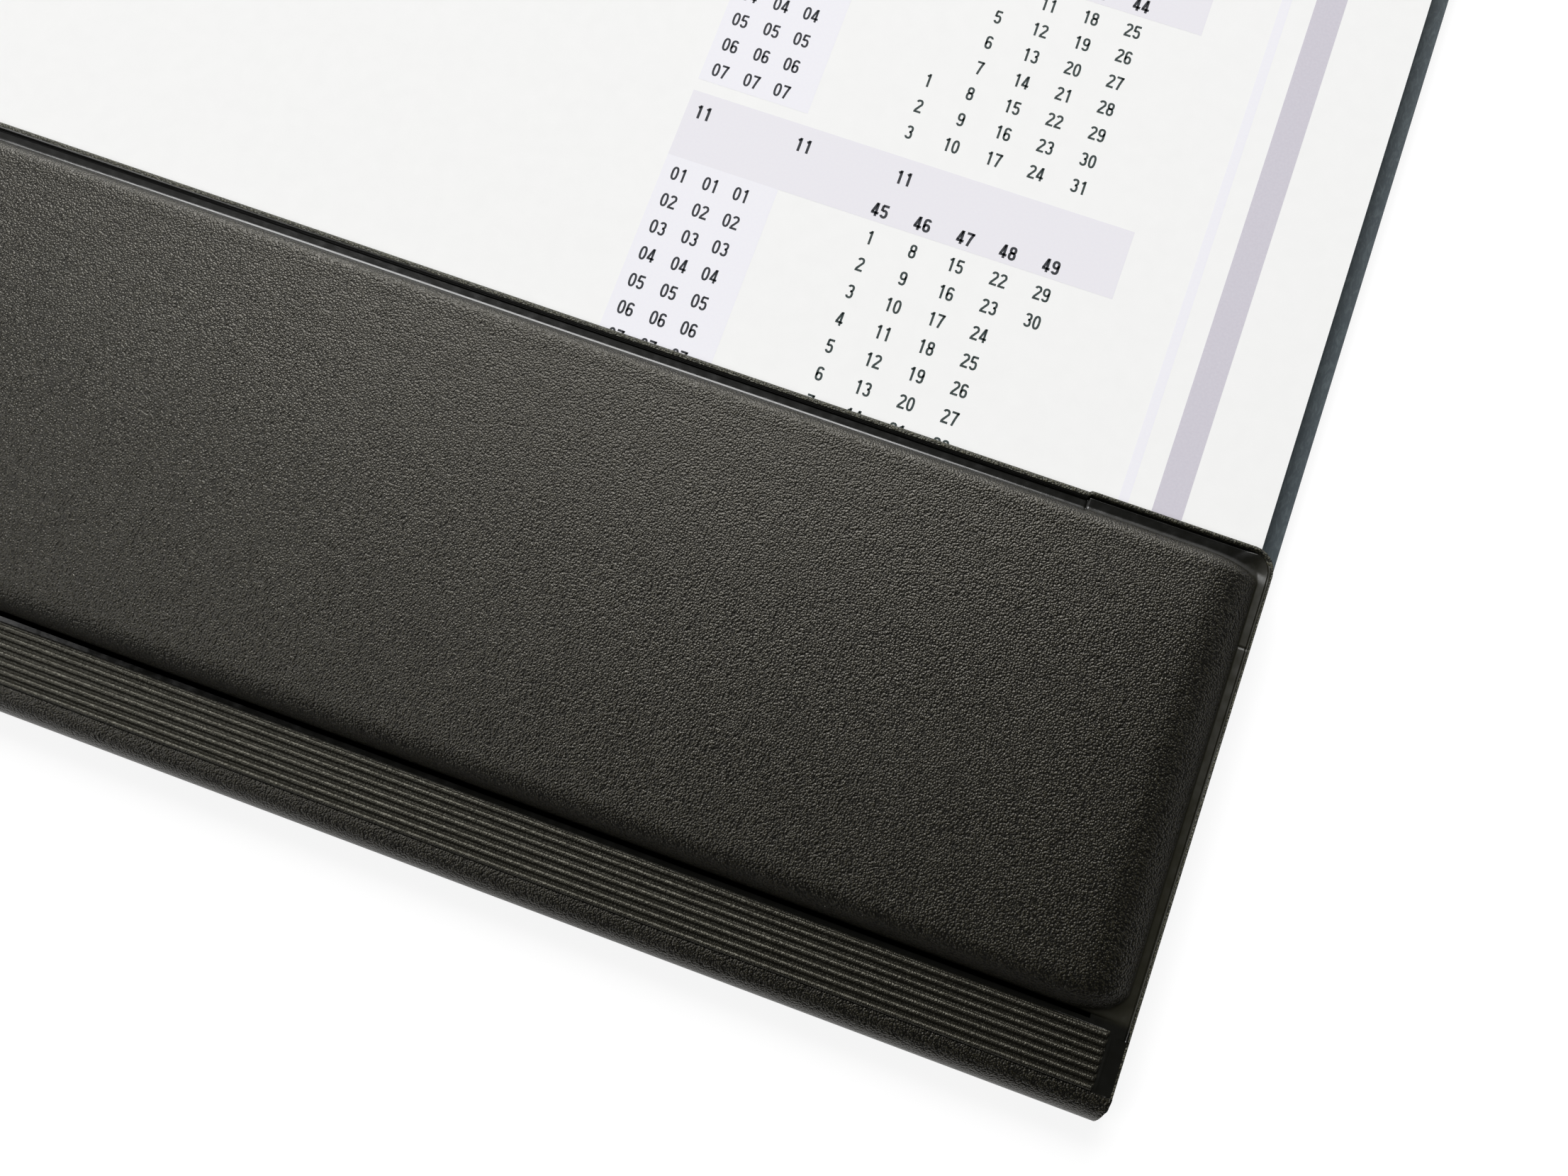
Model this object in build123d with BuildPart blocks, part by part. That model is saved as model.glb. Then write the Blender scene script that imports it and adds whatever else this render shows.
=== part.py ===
"""Paper desk pad: a block of loose-leaf sheets on a backing board, with a padded bar over the front edge.

The pad lies flat. X runs along the long side, +Y points to the rear and +Z up.
The origin is at the centre of the footprint, on the surface that the pad lies on.
The bar is hinged along its ribbed band, so the cushion lifts off the sheets.
"""

import os

from build123d import *

os.makedirs("parts", exist_ok=True)

# Overall size and the backing board
PAD_WIDTH = 595.0
PAD_DEPTH = 410.0
BOARD_THICKNESS = 2.0
BOARD_CORNER = 1.0
FRONT = -PAD_DEPTH / 2
REAR = PAD_DEPTH / 2

# The block of sheets
SHEET_COUNT = 30
SHEET_THICKNESS = 0.1
SHEET_MARGIN = 3.0
SHEET_WIDTH = PAD_WIDTH - 2 * SHEET_MARGIN
BLOCK_FRONT = FRONT + 3.2
BLOCK_REAR = REAR - SHEET_MARGIN
GUM_THICKNESS = 0.25

# The soft PVC of the bar
SKIN = 0.5
LINING = 0.3
FLANGE = 0.35
BAR_WIDTH = PAD_WIDTH - 1.6
BAR_DEPTH = 77.3
BAR_REAR = FRONT + BAR_DEPTH
REAR_CORNER = 3.3
FRONT_CORNER = 1.5

# The tape and the flap that hold the bar under the board
TAPE_THICKNESS = 0.1
TAPE_WIDTH = 18.0
TAPE_LENGTH = BAR_WIDTH - 14.0
TAPE_FRONT = FRONT + 6.0
UNDER_FLAP_DEPTH = 26.0

# Levels from the desk up
BOARD_BOTTOM = SKIN + TAPE_THICKNESS
BLOCK_BOTTOM = BOARD_BOTTOM + BOARD_THICKNESS
BLOCK_TOP = BLOCK_BOTTOM + SHEET_COUNT * SHEET_THICKNESS
AIR_GAP = 0.1
LINING_BOTTOM = BLOCK_TOP + AIR_GAP
LINING_TOP = LINING_BOTTOM + LINING

# Front roll, from the hinge band over the front edge
ROLL_RADIUS = 3.4
ROLL_BACK = FRONT + 3.55
ROLL_TOP = LINING_TOP + SKIN
FOLD_RADIUS = 1.0
BOARD_PLAY = 0.2
BOARD_FRONT = FRONT + SKIN + LINING + BOARD_PLAY

# Ribbed hinge band
BAND_TOP = LINING_TOP + FLANGE
RIB_COUNT = 7
RIB_PITCH = 1.117
RIB_WIDTH = 0.75
RIB_HEIGHT = 0.3
RIB_END = 2.7
FIRST_RIB = FRONT + 4.0
FRONT_RIB_COUNT = 4
HINGE_Y = FIRST_RIB + (FRONT_RIB_COUNT - 0.5) * RIB_PITCH
HINGE_RISE = 0.25
HINGE_Z = BAND_TOP + RIB_HEIGHT + HINGE_RISE
HINGE_SLIT = 0.1
CREASE = 0.6

# Welded edge around the cushion: tear bead, groove and smooth band
BEAD_SIDE = 0.35
BEAD_REAR = 0.95
BEAD_HEIGHT = 0.25
GROOVE_WIDTH = 0.4
GROOVE_DEPTH = 0.15
WELD_SIDE = 1.8
WELD_REAR = 2.7

# Cushion
CUSHION_FRONT = FRONT + 12.6
BAND_BACK = CUSHION_FRONT - CREASE
CUSHION_REAR = BAR_REAR - WELD_REAR
CUSHION_WIDTH = BAR_WIDTH - 2 * WELD_SIDE
CUSHION_DEPTH = CUSHION_REAR - CUSHION_FRONT
CUSHION_MIDDLE = (CUSHION_REAR + CUSHION_FRONT) / 2
CUSHION_CORNER = 2.6
CUSHION_RIM = 3.0
CUSHION_CROWN = 0.9
SHOULDER = 2.2
END_SHOULDER = 3.4
FOAM_PLAY = 0.25


def shouldered_section(low, high, inset, bottom, shoulder, edge_height, crown):
    """A closed section between two places: upright sides, round shoulders and an arched or flat top."""
    radius = shoulder - inset
    spring = bottom + edge_height - shoulder
    top = spring + radius
    middle = (low + high) / 2
    with BuildLine() as outline:
        Line((low + inset, bottom), (low + inset, spring))
        CenterArc((low + shoulder, spring), radius, 180, -90)
        if crown:
            ThreePointArc((low + shoulder, top), (middle, top + crown), (high - shoulder, top))
        else:
            Line((low + shoulder, top), (high - shoulder, top))
        CenterArc((high - shoulder, spring), radius, 90, -90)
        Line((high - inset, spring), (high - inset, bottom))
        Line((high - inset, bottom), (low + inset, bottom))
    return outline.line


def crowned_form(inset, bottom):
    """The cushion's form drawn in by inset: straight sides, round shoulders and a top crowned across Y."""
    across = shouldered_section(
        CUSHION_FRONT, CUSHION_REAR, inset, bottom, SHOULDER, CUSHION_RIM, CUSHION_CROWN
    )
    along = shouldered_section(
        -CUSHION_WIDTH / 2, CUSHION_WIDTH / 2, inset, bottom, END_SHOULDER, CUSHION_RIM + CUSHION_CROWN, 0
    )
    with BuildPart() as form:
        with BuildSketch(Plane.YZ):
            with BuildLine():
                add(across)
            make_face()
        extrude(amount=CUSHION_WIDTH / 2, both=True)
        with BuildSketch(Plane.XZ):
            with BuildLine():
                add(along)
            make_face()
        extrude(amount=PAD_DEPTH, both=True, mode=Mode.INTERSECT)
        with BuildSketch(Plane.XY.offset(bottom)):
            with Locations((0, CUSHION_MIDDLE)):
                RectangleRounded(
                    CUSHION_WIDTH - 2 * inset, CUSHION_DEPTH - 2 * inset, CUSHION_CORNER - inset
                )
        extrude(amount=CUSHION_RIM + CUSHION_CROWN, mode=Mode.INTERSECT)
    return form.part


def bar_outline(side_inset, rear_inset, corner, front):
    """The flat outline of the lifting part of the bar, square in front and rounded at the rear."""
    rear = BAR_REAR - rear_inset
    with BuildSketch() as outline:
        with Locations((0, (front + rear) / 2)):
            Rectangle(BAR_WIDTH - 2 * side_inset, rear - front)
        fillet(outline.vertices().group_by(Axis.Y)[-1], corner)
    return outline.sketch


def rib_centres(first, last):
    """The Y places of the ribs from number first up to, and without, number last."""
    return [FIRST_RIB + RIB_PITCH * number for number in range(first, last)]


# Backing board
with BuildPart() as backing_board:
    with BuildSketch(Plane.XY.offset(BOARD_BOTTOM)):
        with Locations((0, (BOARD_FRONT + REAR) / 2)):
            RectangleRounded(PAD_WIDTH, REAR - BOARD_FRONT, BOARD_CORNER)
    extrude(amount=BOARD_THICKNESS)
backing_board.part.label = "backing_board"
export_step(backing_board.part, "parts/backing_board.step")

# Sheets, numbered from the top one down
for number in range(1, SHEET_COUNT + 1):
    name = "top_sheet" if number == 1 else f"sheet_{number:02d}"
    with BuildPart() as sheet:
        with BuildSketch(Plane.XY.offset(BLOCK_TOP - number * SHEET_THICKNESS)):
            with Locations((0, (BLOCK_FRONT + BLOCK_REAR) / 2)):
                Rectangle(SHEET_WIDTH, BLOCK_REAR - BLOCK_FRONT)
        extrude(amount=SHEET_THICKNESS)
    sheet.part.label = name
    export_step(sheet.part, f"parts/{name}.step")

# Gum edge that binds the block in front
with BuildPart() as gum_edge:
    with BuildSketch(Plane.XY.offset(BLOCK_BOTTOM)):
        with Locations((0, BLOCK_FRONT - GUM_THICKNESS / 2)):
            Rectangle(SHEET_WIDTH, GUM_THICKNESS)
    extrude(amount=SHEET_COUNT * SHEET_THICKNESS)
gum_edge.part.label = "gum_edge"
export_step(gum_edge.part, "parts/gum_edge.step")

# Adhesive tape between the under flap and the board
with BuildPart() as adhesive_tape:
    with BuildSketch(Plane.XY.offset(SKIN)):
        with Locations((0, TAPE_FRONT + TAPE_WIDTH / 2)):
            Rectangle(TAPE_LENGTH, TAPE_WIDTH)
    extrude(amount=TAPE_THICKNESS)
adhesive_tape.part.label = "adhesive_tape"
export_step(adhesive_tape.part, "parts/adhesive_tape.step")

# Front roll: over the front edge, down the front and back under the board
ROLL_AXIS_Y = FRONT + ROLL_RADIUS
ROLL_AXIS_Z = ROLL_TOP - ROLL_RADIUS
with BuildPart() as front_roll:
    with BuildSketch(Plane.YZ):
        with BuildLine():
            Line((ROLL_BACK, ROLL_TOP), (ROLL_AXIS_Y, ROLL_TOP))
            CenterArc((ROLL_AXIS_Y, ROLL_AXIS_Z), ROLL_RADIUS, 90, 90)
            Line((FRONT, ROLL_AXIS_Z), (FRONT, FOLD_RADIUS))
            CenterArc((FRONT + FOLD_RADIUS, FOLD_RADIUS), FOLD_RADIUS, 180, 90)
            Line((FRONT + FOLD_RADIUS, 0), (FRONT + UNDER_FLAP_DEPTH, 0))
            Line((FRONT + UNDER_FLAP_DEPTH, 0), (FRONT + UNDER_FLAP_DEPTH, SKIN))
            Line((FRONT + UNDER_FLAP_DEPTH, SKIN), (FRONT + FOLD_RADIUS, SKIN))
            CenterArc((FRONT + FOLD_RADIUS, FOLD_RADIUS), FOLD_RADIUS - SKIN, 270, -90)
            Line((FRONT + SKIN, FOLD_RADIUS), (FRONT + SKIN, ROLL_AXIS_Z))
            CenterArc((ROLL_AXIS_Y, ROLL_AXIS_Z), ROLL_RADIUS - SKIN, 180, -90)
            Line((ROLL_AXIS_Y, LINING_TOP), (ROLL_BACK, LINING_TOP))
            Line((ROLL_BACK, LINING_TOP), (ROLL_BACK, ROLL_TOP))
        make_face()
    extrude(amount=BAR_WIDTH / 2, both=True)
    with BuildSketch(Plane.XY):
        with Locations((0, FRONT + BAR_DEPTH / 2)):
            RectangleRounded(BAR_WIDTH, BAR_DEPTH, FRONT_CORNER)
    extrude(amount=ROLL_TOP, mode=Mode.INTERSECT)
front_roll.part.label = "front_roll"
export_step(front_roll.part, "parts/front_roll.step")

# Lining of the front roll, against the inner face of the skin
LINING_INNER = SKIN + LINING
with BuildPart() as roll_lining:
    with BuildSketch(Plane.YZ):
        with BuildLine():
            Line((ROLL_BACK, LINING_TOP), (ROLL_AXIS_Y, LINING_TOP))
            CenterArc((ROLL_AXIS_Y, ROLL_AXIS_Z), ROLL_RADIUS - SKIN, 90, 90)
            Line((FRONT + SKIN, ROLL_AXIS_Z), (FRONT + SKIN, FOLD_RADIUS))
            Line((FRONT + SKIN, FOLD_RADIUS), (FRONT + LINING_INNER, FOLD_RADIUS))
            Line((FRONT + LINING_INNER, FOLD_RADIUS), (FRONT + LINING_INNER, ROLL_AXIS_Z))
            CenterArc((ROLL_AXIS_Y, ROLL_AXIS_Z), ROLL_RADIUS - LINING_INNER, 180, -90)
            Line((ROLL_AXIS_Y, LINING_BOTTOM), (ROLL_BACK, LINING_BOTTOM))
            Line((ROLL_BACK, LINING_BOTTOM), (ROLL_BACK, LINING_TOP))
        make_face()
    extrude(amount=BAR_WIDTH / 2 - FRONT_CORNER, both=True)
roll_lining.part.label = "roll_lining"
export_step(roll_lining.part, "parts/roll_lining.step")


def hinge_band(front, rear, ribs):
    """One half of the welded hinge band: both skins fused flat, with ribs on top and a bead at each end."""
    with BuildPart() as band:
        with BuildSketch(Plane.XY.offset(LINING_BOTTOM)):
            with Locations((0, (front + rear) / 2)):
                Rectangle(BAR_WIDTH, rear - front)
        extrude(amount=BAND_TOP - LINING_BOTTOM)
        with BuildSketch(Plane.XY.offset(BAND_TOP)):
            with Locations(*[(0, place) for place in ribs]):
                Rectangle(BAR_WIDTH - 2 * RIB_END, RIB_WIDTH)
        extrude(amount=RIB_HEIGHT)
        with BuildSketch(Plane.XY.offset(BAND_TOP)):
            for side in (-1, 1):
                with Locations((side * (BAR_WIDTH - BEAD_SIDE) / 2, (front + rear) / 2)):
                    Rectangle(BEAD_SIDE, rear - front)
        extrude(amount=BEAD_HEIGHT)
    return band.part


# The hinge band, in two halves that meet in the groove where the bar bends
with BuildPart() as hinge_band_front:
    add(hinge_band(ROLL_BACK, HINGE_Y - HINGE_SLIT / 2, rib_centres(0, FRONT_RIB_COUNT)))
hinge_band_front.part.label = "hinge_band_front"
export_step(hinge_band_front.part, "parts/hinge_band_front.step")

with BuildPart() as hinge_band_rear:
    add(hinge_band(HINGE_Y + HINGE_SLIT / 2, BAND_BACK, rib_centres(FRONT_RIB_COUNT, RIB_COUNT)))
hinge_band_rear.part.label = "hinge_band_rear"
export_step(hinge_band_rear.part, "parts/hinge_band_rear.step")

# Lining of the cushion, the flat lower skin
flap_outline = bar_outline(0, 0, REAR_CORNER, BAND_BACK)
with BuildPart() as cushion_lining:
    with BuildSketch(Plane.XY.offset(LINING_BOTTOM)):
        add(flap_outline)
    extrude(amount=LINING)
cushion_lining.part.label = "cushion_lining"
export_step(cushion_lining.part, "parts/cushion_lining.step")

# Foam core, a little smaller than the space inside the cover
foam_form = crowned_form(SKIN + FOAM_PLAY, LINING_TOP)
with BuildPart() as foam_core:
    add(foam_form)
foam_core.part.label = "foam_core"
export_step(foam_core.part, "parts/foam_core.step")

# Cushion cover: the crowned skin, its smooth weld band, the groove and the tear bead
cover_form = crowned_form(0, LINING_TOP)
cover_hollow = crowned_form(SKIN, LINING_TOP)
bead_inner = bar_outline(BEAD_SIDE, BEAD_REAR, REAR_CORNER - BEAD_SIDE, BAND_BACK)
groove_inner = bar_outline(
    BEAD_SIDE + GROOVE_WIDTH, BEAD_REAR + GROOVE_WIDTH / 2, REAR_CORNER - BEAD_SIDE - GROOVE_WIDTH, BAND_BACK
)
with BuildPart() as cushion_cover:
    with BuildSketch(Plane.XY.offset(LINING_TOP)):
        add(flap_outline)
    extrude(amount=FLANGE)
    with BuildSketch(Plane.XY.offset(BAND_TOP)):
        add(flap_outline)
        add(bead_inner, mode=Mode.SUBTRACT)
    extrude(amount=BEAD_HEIGHT)
    with BuildSketch(Plane.XY.offset(BAND_TOP)):
        add(bead_inner)
        add(groove_inner, mode=Mode.SUBTRACT)
    extrude(amount=-GROOVE_DEPTH, mode=Mode.SUBTRACT)
    add(cover_form)
    add(cover_hollow, mode=Mode.SUBTRACT)
cushion_cover.part.label = "cushion_cover"
export_step(cushion_cover.part, "parts/cushion_cover.step")

print(f"hinge axis at y {HINGE_Y:.3f} mm, z {HINGE_Z:.3f} mm")
print(f"height over the cushion {LINING_TOP + CUSHION_RIM + CUSHION_CROWN:.2f} mm")
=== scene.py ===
"""The looks of a paper desk pad: printed sheets on a board, under a padded bar of soft PVC.

The pad lies flat: X runs along the long side, +Y points to the rear and +Z up. Sizes are in
millimetres here and become metres where a mesh is made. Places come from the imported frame.
"""
import logging
import math
from dataclasses import dataclass, field
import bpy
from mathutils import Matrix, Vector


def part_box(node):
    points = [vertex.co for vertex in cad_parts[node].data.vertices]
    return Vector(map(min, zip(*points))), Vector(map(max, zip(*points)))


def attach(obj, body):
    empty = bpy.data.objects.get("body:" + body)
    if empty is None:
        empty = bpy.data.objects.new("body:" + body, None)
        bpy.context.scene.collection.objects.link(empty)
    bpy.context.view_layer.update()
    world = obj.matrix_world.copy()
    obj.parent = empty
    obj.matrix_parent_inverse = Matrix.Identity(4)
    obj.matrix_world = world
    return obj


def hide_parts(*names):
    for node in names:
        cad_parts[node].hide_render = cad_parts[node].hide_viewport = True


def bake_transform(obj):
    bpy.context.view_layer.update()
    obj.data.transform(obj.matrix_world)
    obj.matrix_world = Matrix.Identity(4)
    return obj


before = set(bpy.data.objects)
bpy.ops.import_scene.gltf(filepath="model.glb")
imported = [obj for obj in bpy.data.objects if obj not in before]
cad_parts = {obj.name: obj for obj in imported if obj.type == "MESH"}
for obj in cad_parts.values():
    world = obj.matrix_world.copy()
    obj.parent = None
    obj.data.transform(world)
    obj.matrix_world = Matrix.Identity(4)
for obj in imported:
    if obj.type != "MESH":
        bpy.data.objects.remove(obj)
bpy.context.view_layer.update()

from datetime import date, timedelta
from enum import Enum
from functools import partial
from typing import Callable

import bpy
import numpy as np
from mathutils import Matrix, Vector, noise

LOG = logging.getLogger("desk_pad")
MM = 0.001
# A texture's scale is this over a size in millimetres, since places in the shaders are in metres
METRE = 1000
SMOOTH_ANGLE = math.radians(50)
# Blender's Mix node set to colours, whose sockets have numbers because their names are shared
MIX_A, MIX_B = 6, 7
COLOURS = {"output": 2, "data_type": "RGBA"}
# Most values of a noise texture lie between these
NOISE_SPAN = (0.3, 0.7)
WHITE = "#ffffff"
# Name of the mesh values that say how far a weld is rubbed to satin and painted paler as a reflection,
# from 0 to 1
RUB_AND_SHEEN_VALUES = "rub"
NodeMaker = Callable[..., bpy.types.NodeSocket]


def linear(hex_colour: str) -> tuple[float, float, float, float]:
    """Turns an sRGB hex value into the linear colour that a shader takes.

    Args:
        hex_colour: The colour as "#rrggbb".

    Returns:
        Red, green, blue and an alpha of 1.
    """
    parts = [int(hex_colour[k:k + 2], 16) / 255 for k in (1, 3, 5)]
    red, green, blue = [c / 12.92 if c <= 0.04045 else ((c + 0.055) / 1.055) ** 2.4 for c in parts]
    return red, green, blue, 1.0


def feed(node: bpy.types.Node, sockets: dict) -> None:
    """Sets inputs of a node.

    Args:
        node: The node.
        sockets: Input name or number, and what feeds it: an output socket, a value or an sRGB hex colour.
    """
    for name, value in sockets.items():
        if isinstance(value, bpy.types.NodeSocket):
            node.id_data.links.new(value, node.inputs[name])
        else:
            node.inputs[name].default_value = linear(value) if isinstance(value, str) else value


def add_node(
    tree: bpy.types.NodeTree, kind: str, sockets: dict | None = None, output: int | str = 0, **settings
) -> bpy.types.NodeSocket | None:
    """Adds one shader node with its settings and links.

    Args:
        tree: The node tree that takes the node.
        kind: The node's Blender type, less the word ShaderNode.
        sockets: What feeds its inputs.
        output: Name or number of the output that is used.
        **settings: Properties of the node itself.

    Returns:
        The output socket that is used, or None for a node without outputs.
    """
    made = tree.nodes.new("ShaderNode" + kind)
    for name, value in settings.items():
        setattr(made, name, value)
    feed(made, sockets or {})
    return made.outputs[output] if made.outputs else None


def smooth_step(values: np.ndarray, low: float, high: float) -> np.ndarray:
    """Rises smoothly from 0 at low to 1 at high, and stays there."""
    share = np.clip((values - low) / (high - low), 0, 1)
    return share * share * (3 - 2 * share)


def inwards(spans: tuple) -> np.ndarray:
    """Distances from an end at each grid place of its spans.

    Args:
        spans: Pairs of length and step, counted from the end.

    Returns:
        The distances, from 0 up.
    """
    found = [0.0]
    for length, size in spans:
        count = max(1, round(length / size))
        found += list(found[-1] + length * np.arange(1, count + 1) / count)
    return np.array(found)


def graded(low: float, high: float, low_spans: tuple, step: float, high_spans: tuple) -> np.ndarray:
    """Grid places between two ends, close together near the ends and wider in the middle.

    Args:
        low: The first place.
        high: The last place.
        low_spans: Pairs of length and step, counted inwards from the low end.
        step: The step of the middle.
        high_spans: Pairs of length and step, counted inwards from the high end.

    Returns:
        The places in rising order.
    """
    front, back = low + inwards(low_spans), high - inwards(high_spans)
    count = max(2, round((back[-1] - front[-1]) / step))
    return np.concatenate([front, np.linspace(front[-1], back[-1], count + 1)[1:-1], back[::-1]])


def grid_points(x: np.ndarray, y: np.ndarray, z: np.ndarray | float) -> np.ndarray:
    """Joins grids of coordinates to one grid of points."""
    return np.stack(np.broadcast_arrays(x, y, z), axis=-1)


def solid_between(upper: np.ndarray, lower: np.ndarray) -> tuple[np.ndarray, np.ndarray]:
    """Closes the space between two grids of the same shape into one solid.

    Args:
        upper: Points of the upper face, rows along Y and columns along X.
        lower: Points of the lower face.

    Returns:
        The vertices, and faces of four vertex numbers each.
    """
    rows, columns = upper.shape[:2]
    count = rows * columns
    number = np.arange(count).reshape(rows, columns)
    quads = np.stack(
        [number[:-1, :-1], number[:-1, 1:], number[1:, 1:], number[1:, :-1]], axis=-1
    ).reshape(-1, 4)
    rim = np.concatenate([number[0, :-1], number[:-1, -1], number[-1, :0:-1], number[:0:-1, 0]])
    after = np.roll(rim, -1)
    wall = np.stack([rim + count, after + count, after, rim], axis=-1)
    vertices = np.concatenate([upper.reshape(-1, 3), lower.reshape(-1, 3)])
    return vertices, np.concatenate([quads, quads[:, ::-1] + count, wall])


def new_piece(name: str, vertices: np.ndarray, faces: np.ndarray) -> bpy.types.Object:
    """Makes a smooth-shaded mesh object.

    Args:
        name: The object's name.
        vertices: Its points, in millimetres.
        faces: Vertex numbers of each face.

    Returns:
        The object.
    """
    mesh = bpy.data.meshes.new(name)
    mesh.from_pydata((np.asarray(vertices, float) * MM).tolist(), [], np.asarray(faces).tolist())
    mesh.validate()
    mesh.shade_smooth()
    mesh.set_sharp_from_angle(angle=SMOOTH_ANGLE)
    piece = bpy.data.objects.new(name, mesh)
    bpy.context.scene.collection.objects.link(piece)
    return piece


def node_box(name: str) -> tuple[np.ndarray, np.ndarray]:
    """Lowest and highest corner of a CAD node, in millimetres."""
    low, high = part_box(name)
    return np.array(low) / MM, np.array(high) / MM


@dataclass(frozen=True)
class Finish:
    """What all finishes share: a name, one main colour and the gloss of the bare material.

    Sizes of patterns are in real millimetres, except where a comment says otherwise.
    """

    name: str
    colour: str
    roughness: float
    ior: float
    sheen: str = WHITE

    def build(self) -> bpy.types.Material:
        """Makes the material: a bare shader with the finish's pattern.

        Returns:
            The material.
        """
        material = bpy.data.materials.new(self.name)
        material.use_nodes = True
        shader = material.node_tree.nodes["Principled BSDF"]
        bare = {"IOR": self.ior, "Roughness": self.roughness}
        feed(shader, bare | {"Base Color": self.colour, "Specular Tint": self.sheen})
        node = partial(add_node, material.node_tree)
        feed(shader, self.pattern(node, node("TexCoord", output="Object")))
        return material

    def pattern(self, node: NodeMaker, place: bpy.types.NodeSocket) -> dict:
        """Adds the nodes of the finish's pattern. Each kind of finish has its own.

        Args:
            node: Adds a node to the material.
            place: The object coordinates, in metres.

        Returns:
            What feeds the shader's inputs.
        """
        return {}


@dataclass(frozen=True)
class GrainedPvc(Finish):
    """Calendered soft PVC with an embossed pebble grain, as on imitation leather.

    The rounded pebbles break the light into fine flecks, and painted shade keeps the creases between them
    dark.
    """

    # Painted shade in the creases between the pebbles
    crease_colour: str = "#050504"
    crease_span: tuple[float, float] = (0.22, 0.52)
    crease_share: float = 0.95
    pebble: float = 0.27
    softness: float = 0.4
    depth: float = 0.105
    waver: float = 0.5
    fleck: float = 0.14
    fleck_share: float = 0.3
    fold: float = 0.9
    fold_share: float = 0.25
    cloud: float = 35.0
    gloss_swing: tuple[float, float] = (-0.03, 0.04)
    dust_spacing: float = 9.0
    dust_size: float = 0.06
    dust_colour: str = "#a8a69c"

    def pattern(self, node: NodeMaker, place: bpy.types.NodeSocket) -> dict:
        """Adds pebbles, flecks, painted shade in the creases, slow folds, broad tone clouds and stray
        dust.

        Args:
            node: Adds a node to the material.
            place: The object coordinates, in metres.

        Returns:
            What feeds the shader's inputs.
        """
        coarse = {"Vector": place, "Scale": METRE / (2 * self.pebble), "Detail": 1.0}
        bend = node("TexNoise", coarse, "Color")
        reach = (self.waver * self.pebble * MM,) * 3
        nudge = node("VectorMath", {0: bend, 1: reach, 2: place}, operation="MULTIPLY_ADD")
        pebbles = node(
            "TexVoronoi", {"Vector": nudge, "Scale": METRE / self.pebble, "Smoothness": self.softness},
            feature="SMOOTH_F1",
        )
        flecks = node("TexNoise", {"Vector": place, "Scale": METRE / self.fleck, "Detail": 2.0})
        height = node("Math", {0: flecks, 1: self.fleck_share, 2: pebbles}, operation="MULTIPLY_ADD")
        folds = node("TexNoise", {"Vector": place, "Scale": METRE / self.fold, "Detail": 1.0})
        relief = node("Math", {0: folds, 1: self.fold_share, 2: height}, operation="MULTIPLY_ADD")
        bump = node("Bump", {"Height": relief, "Distance": self.depth * MM, "Strength": 1.0}, invert=True)
        # Painted shade: the creases between the pebbles are darkened
        crease = node("MapRange", {
            "Value": pebbles, "From Min": self.crease_span[0], "From Max": self.crease_span[1],
            "To Max": self.crease_share,
        })
        tone = node("Mix", {"Factor": crease, MIX_A: self.colour, MIX_B: self.crease_colour}, **COLOURS)
        clouds = node("TexNoise", {"Vector": place, "Scale": METRE / self.cloud, "Detail": 3.0})
        gloss = node("MapRange", {
            "Value": clouds, "From Min": NOISE_SPAN[0], "From Max": NOISE_SPAN[1],
            "To Min": self.roughness + self.gloss_swing[0], "To Max": self.roughness + self.gloss_swing[1],
        })
        spread = {"Vector": place, "Scale": METRE / self.dust_spacing, "Randomness": 1.0}
        dust = node("TexVoronoi", spread, feature="F1")
        speck = node("Math", {0: dust, 1: self.dust_size / self.dust_spacing}, operation="LESS_THAN")
        dusty = node("Mix", {"Factor": speck, MIX_A: tone, MIX_B: self.dust_colour}, **COLOURS)
        return {"Base Color": dusty, "Roughness": gloss, "Normal": bump}


@dataclass(frozen=True)
class WeldedPvc(Finish):
    """Soft PVC that a hot electrode has pressed smooth.

    The pressing melts the grain away, so the weld reflects in long clean streaks with a faint ripple.
    On the side welds and where the cushion is drawn over it, it is a little paler and satin: partly
    rubbed, partly a painted reflection of the light that these slopes catch.
    """

    ripple: float = 1.6
    depth: float = 0.014
    shade_colour: str = "#141412"
    gloss_swing: tuple[float, float] = (-0.05, 0.08)
    # Paler colour of rubbed welds: partly wear, partly a painted reflection of light
    rubbed_colour: str = "#1f1e16"
    rubbed_roughness: float = 0.34

    def pattern(self, node: NodeMaker, place: bpy.types.NodeSocket) -> dict:
        """Adds a shallow ripple, and satin with a paler painted reflection where the mesh has rub values.

        Args:
            node: Adds a node to the material.
            place: The object coordinates, in metres.

        Returns:
            What feeds the shader's inputs.
        """
        rub = node("Attribute", output="Fac", attribute_name=RUB_AND_SHEEN_VALUES)
        ripples = node("TexNoise", {"Vector": place, "Scale": METRE / self.ripple, "Detail": 3.0})
        tone = node("Mix", {"Factor": ripples, MIX_A: self.colour, MIX_B: self.shade_colour}, **COLOURS)
        # Paler where rubbed: partly satin wear, partly a painted reflection
        worn = node("Mix", {"Factor": rub, MIX_A: tone, MIX_B: self.rubbed_colour}, **COLOURS)
        bump = node("Bump", {"Height": ripples, "Distance": self.depth * MM, "Strength": 1.0})
        gloss = node("MapRange", {
            "Value": ripples, "From Min": NOISE_SPAN[0], "From Max": NOISE_SPAN[1],
            "To Min": self.roughness + self.gloss_swing[0], "To Max": self.roughness + self.gloss_swing[1],
        })
        duller = self.rubbed_roughness - self.roughness
        dulled = node("Math", {0: rub, 1: duller, 2: gloss}, operation="MULTIPLY_ADD")
        return {"Base Color": worn, "Roughness": dulled, "Normal": bump}


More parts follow.
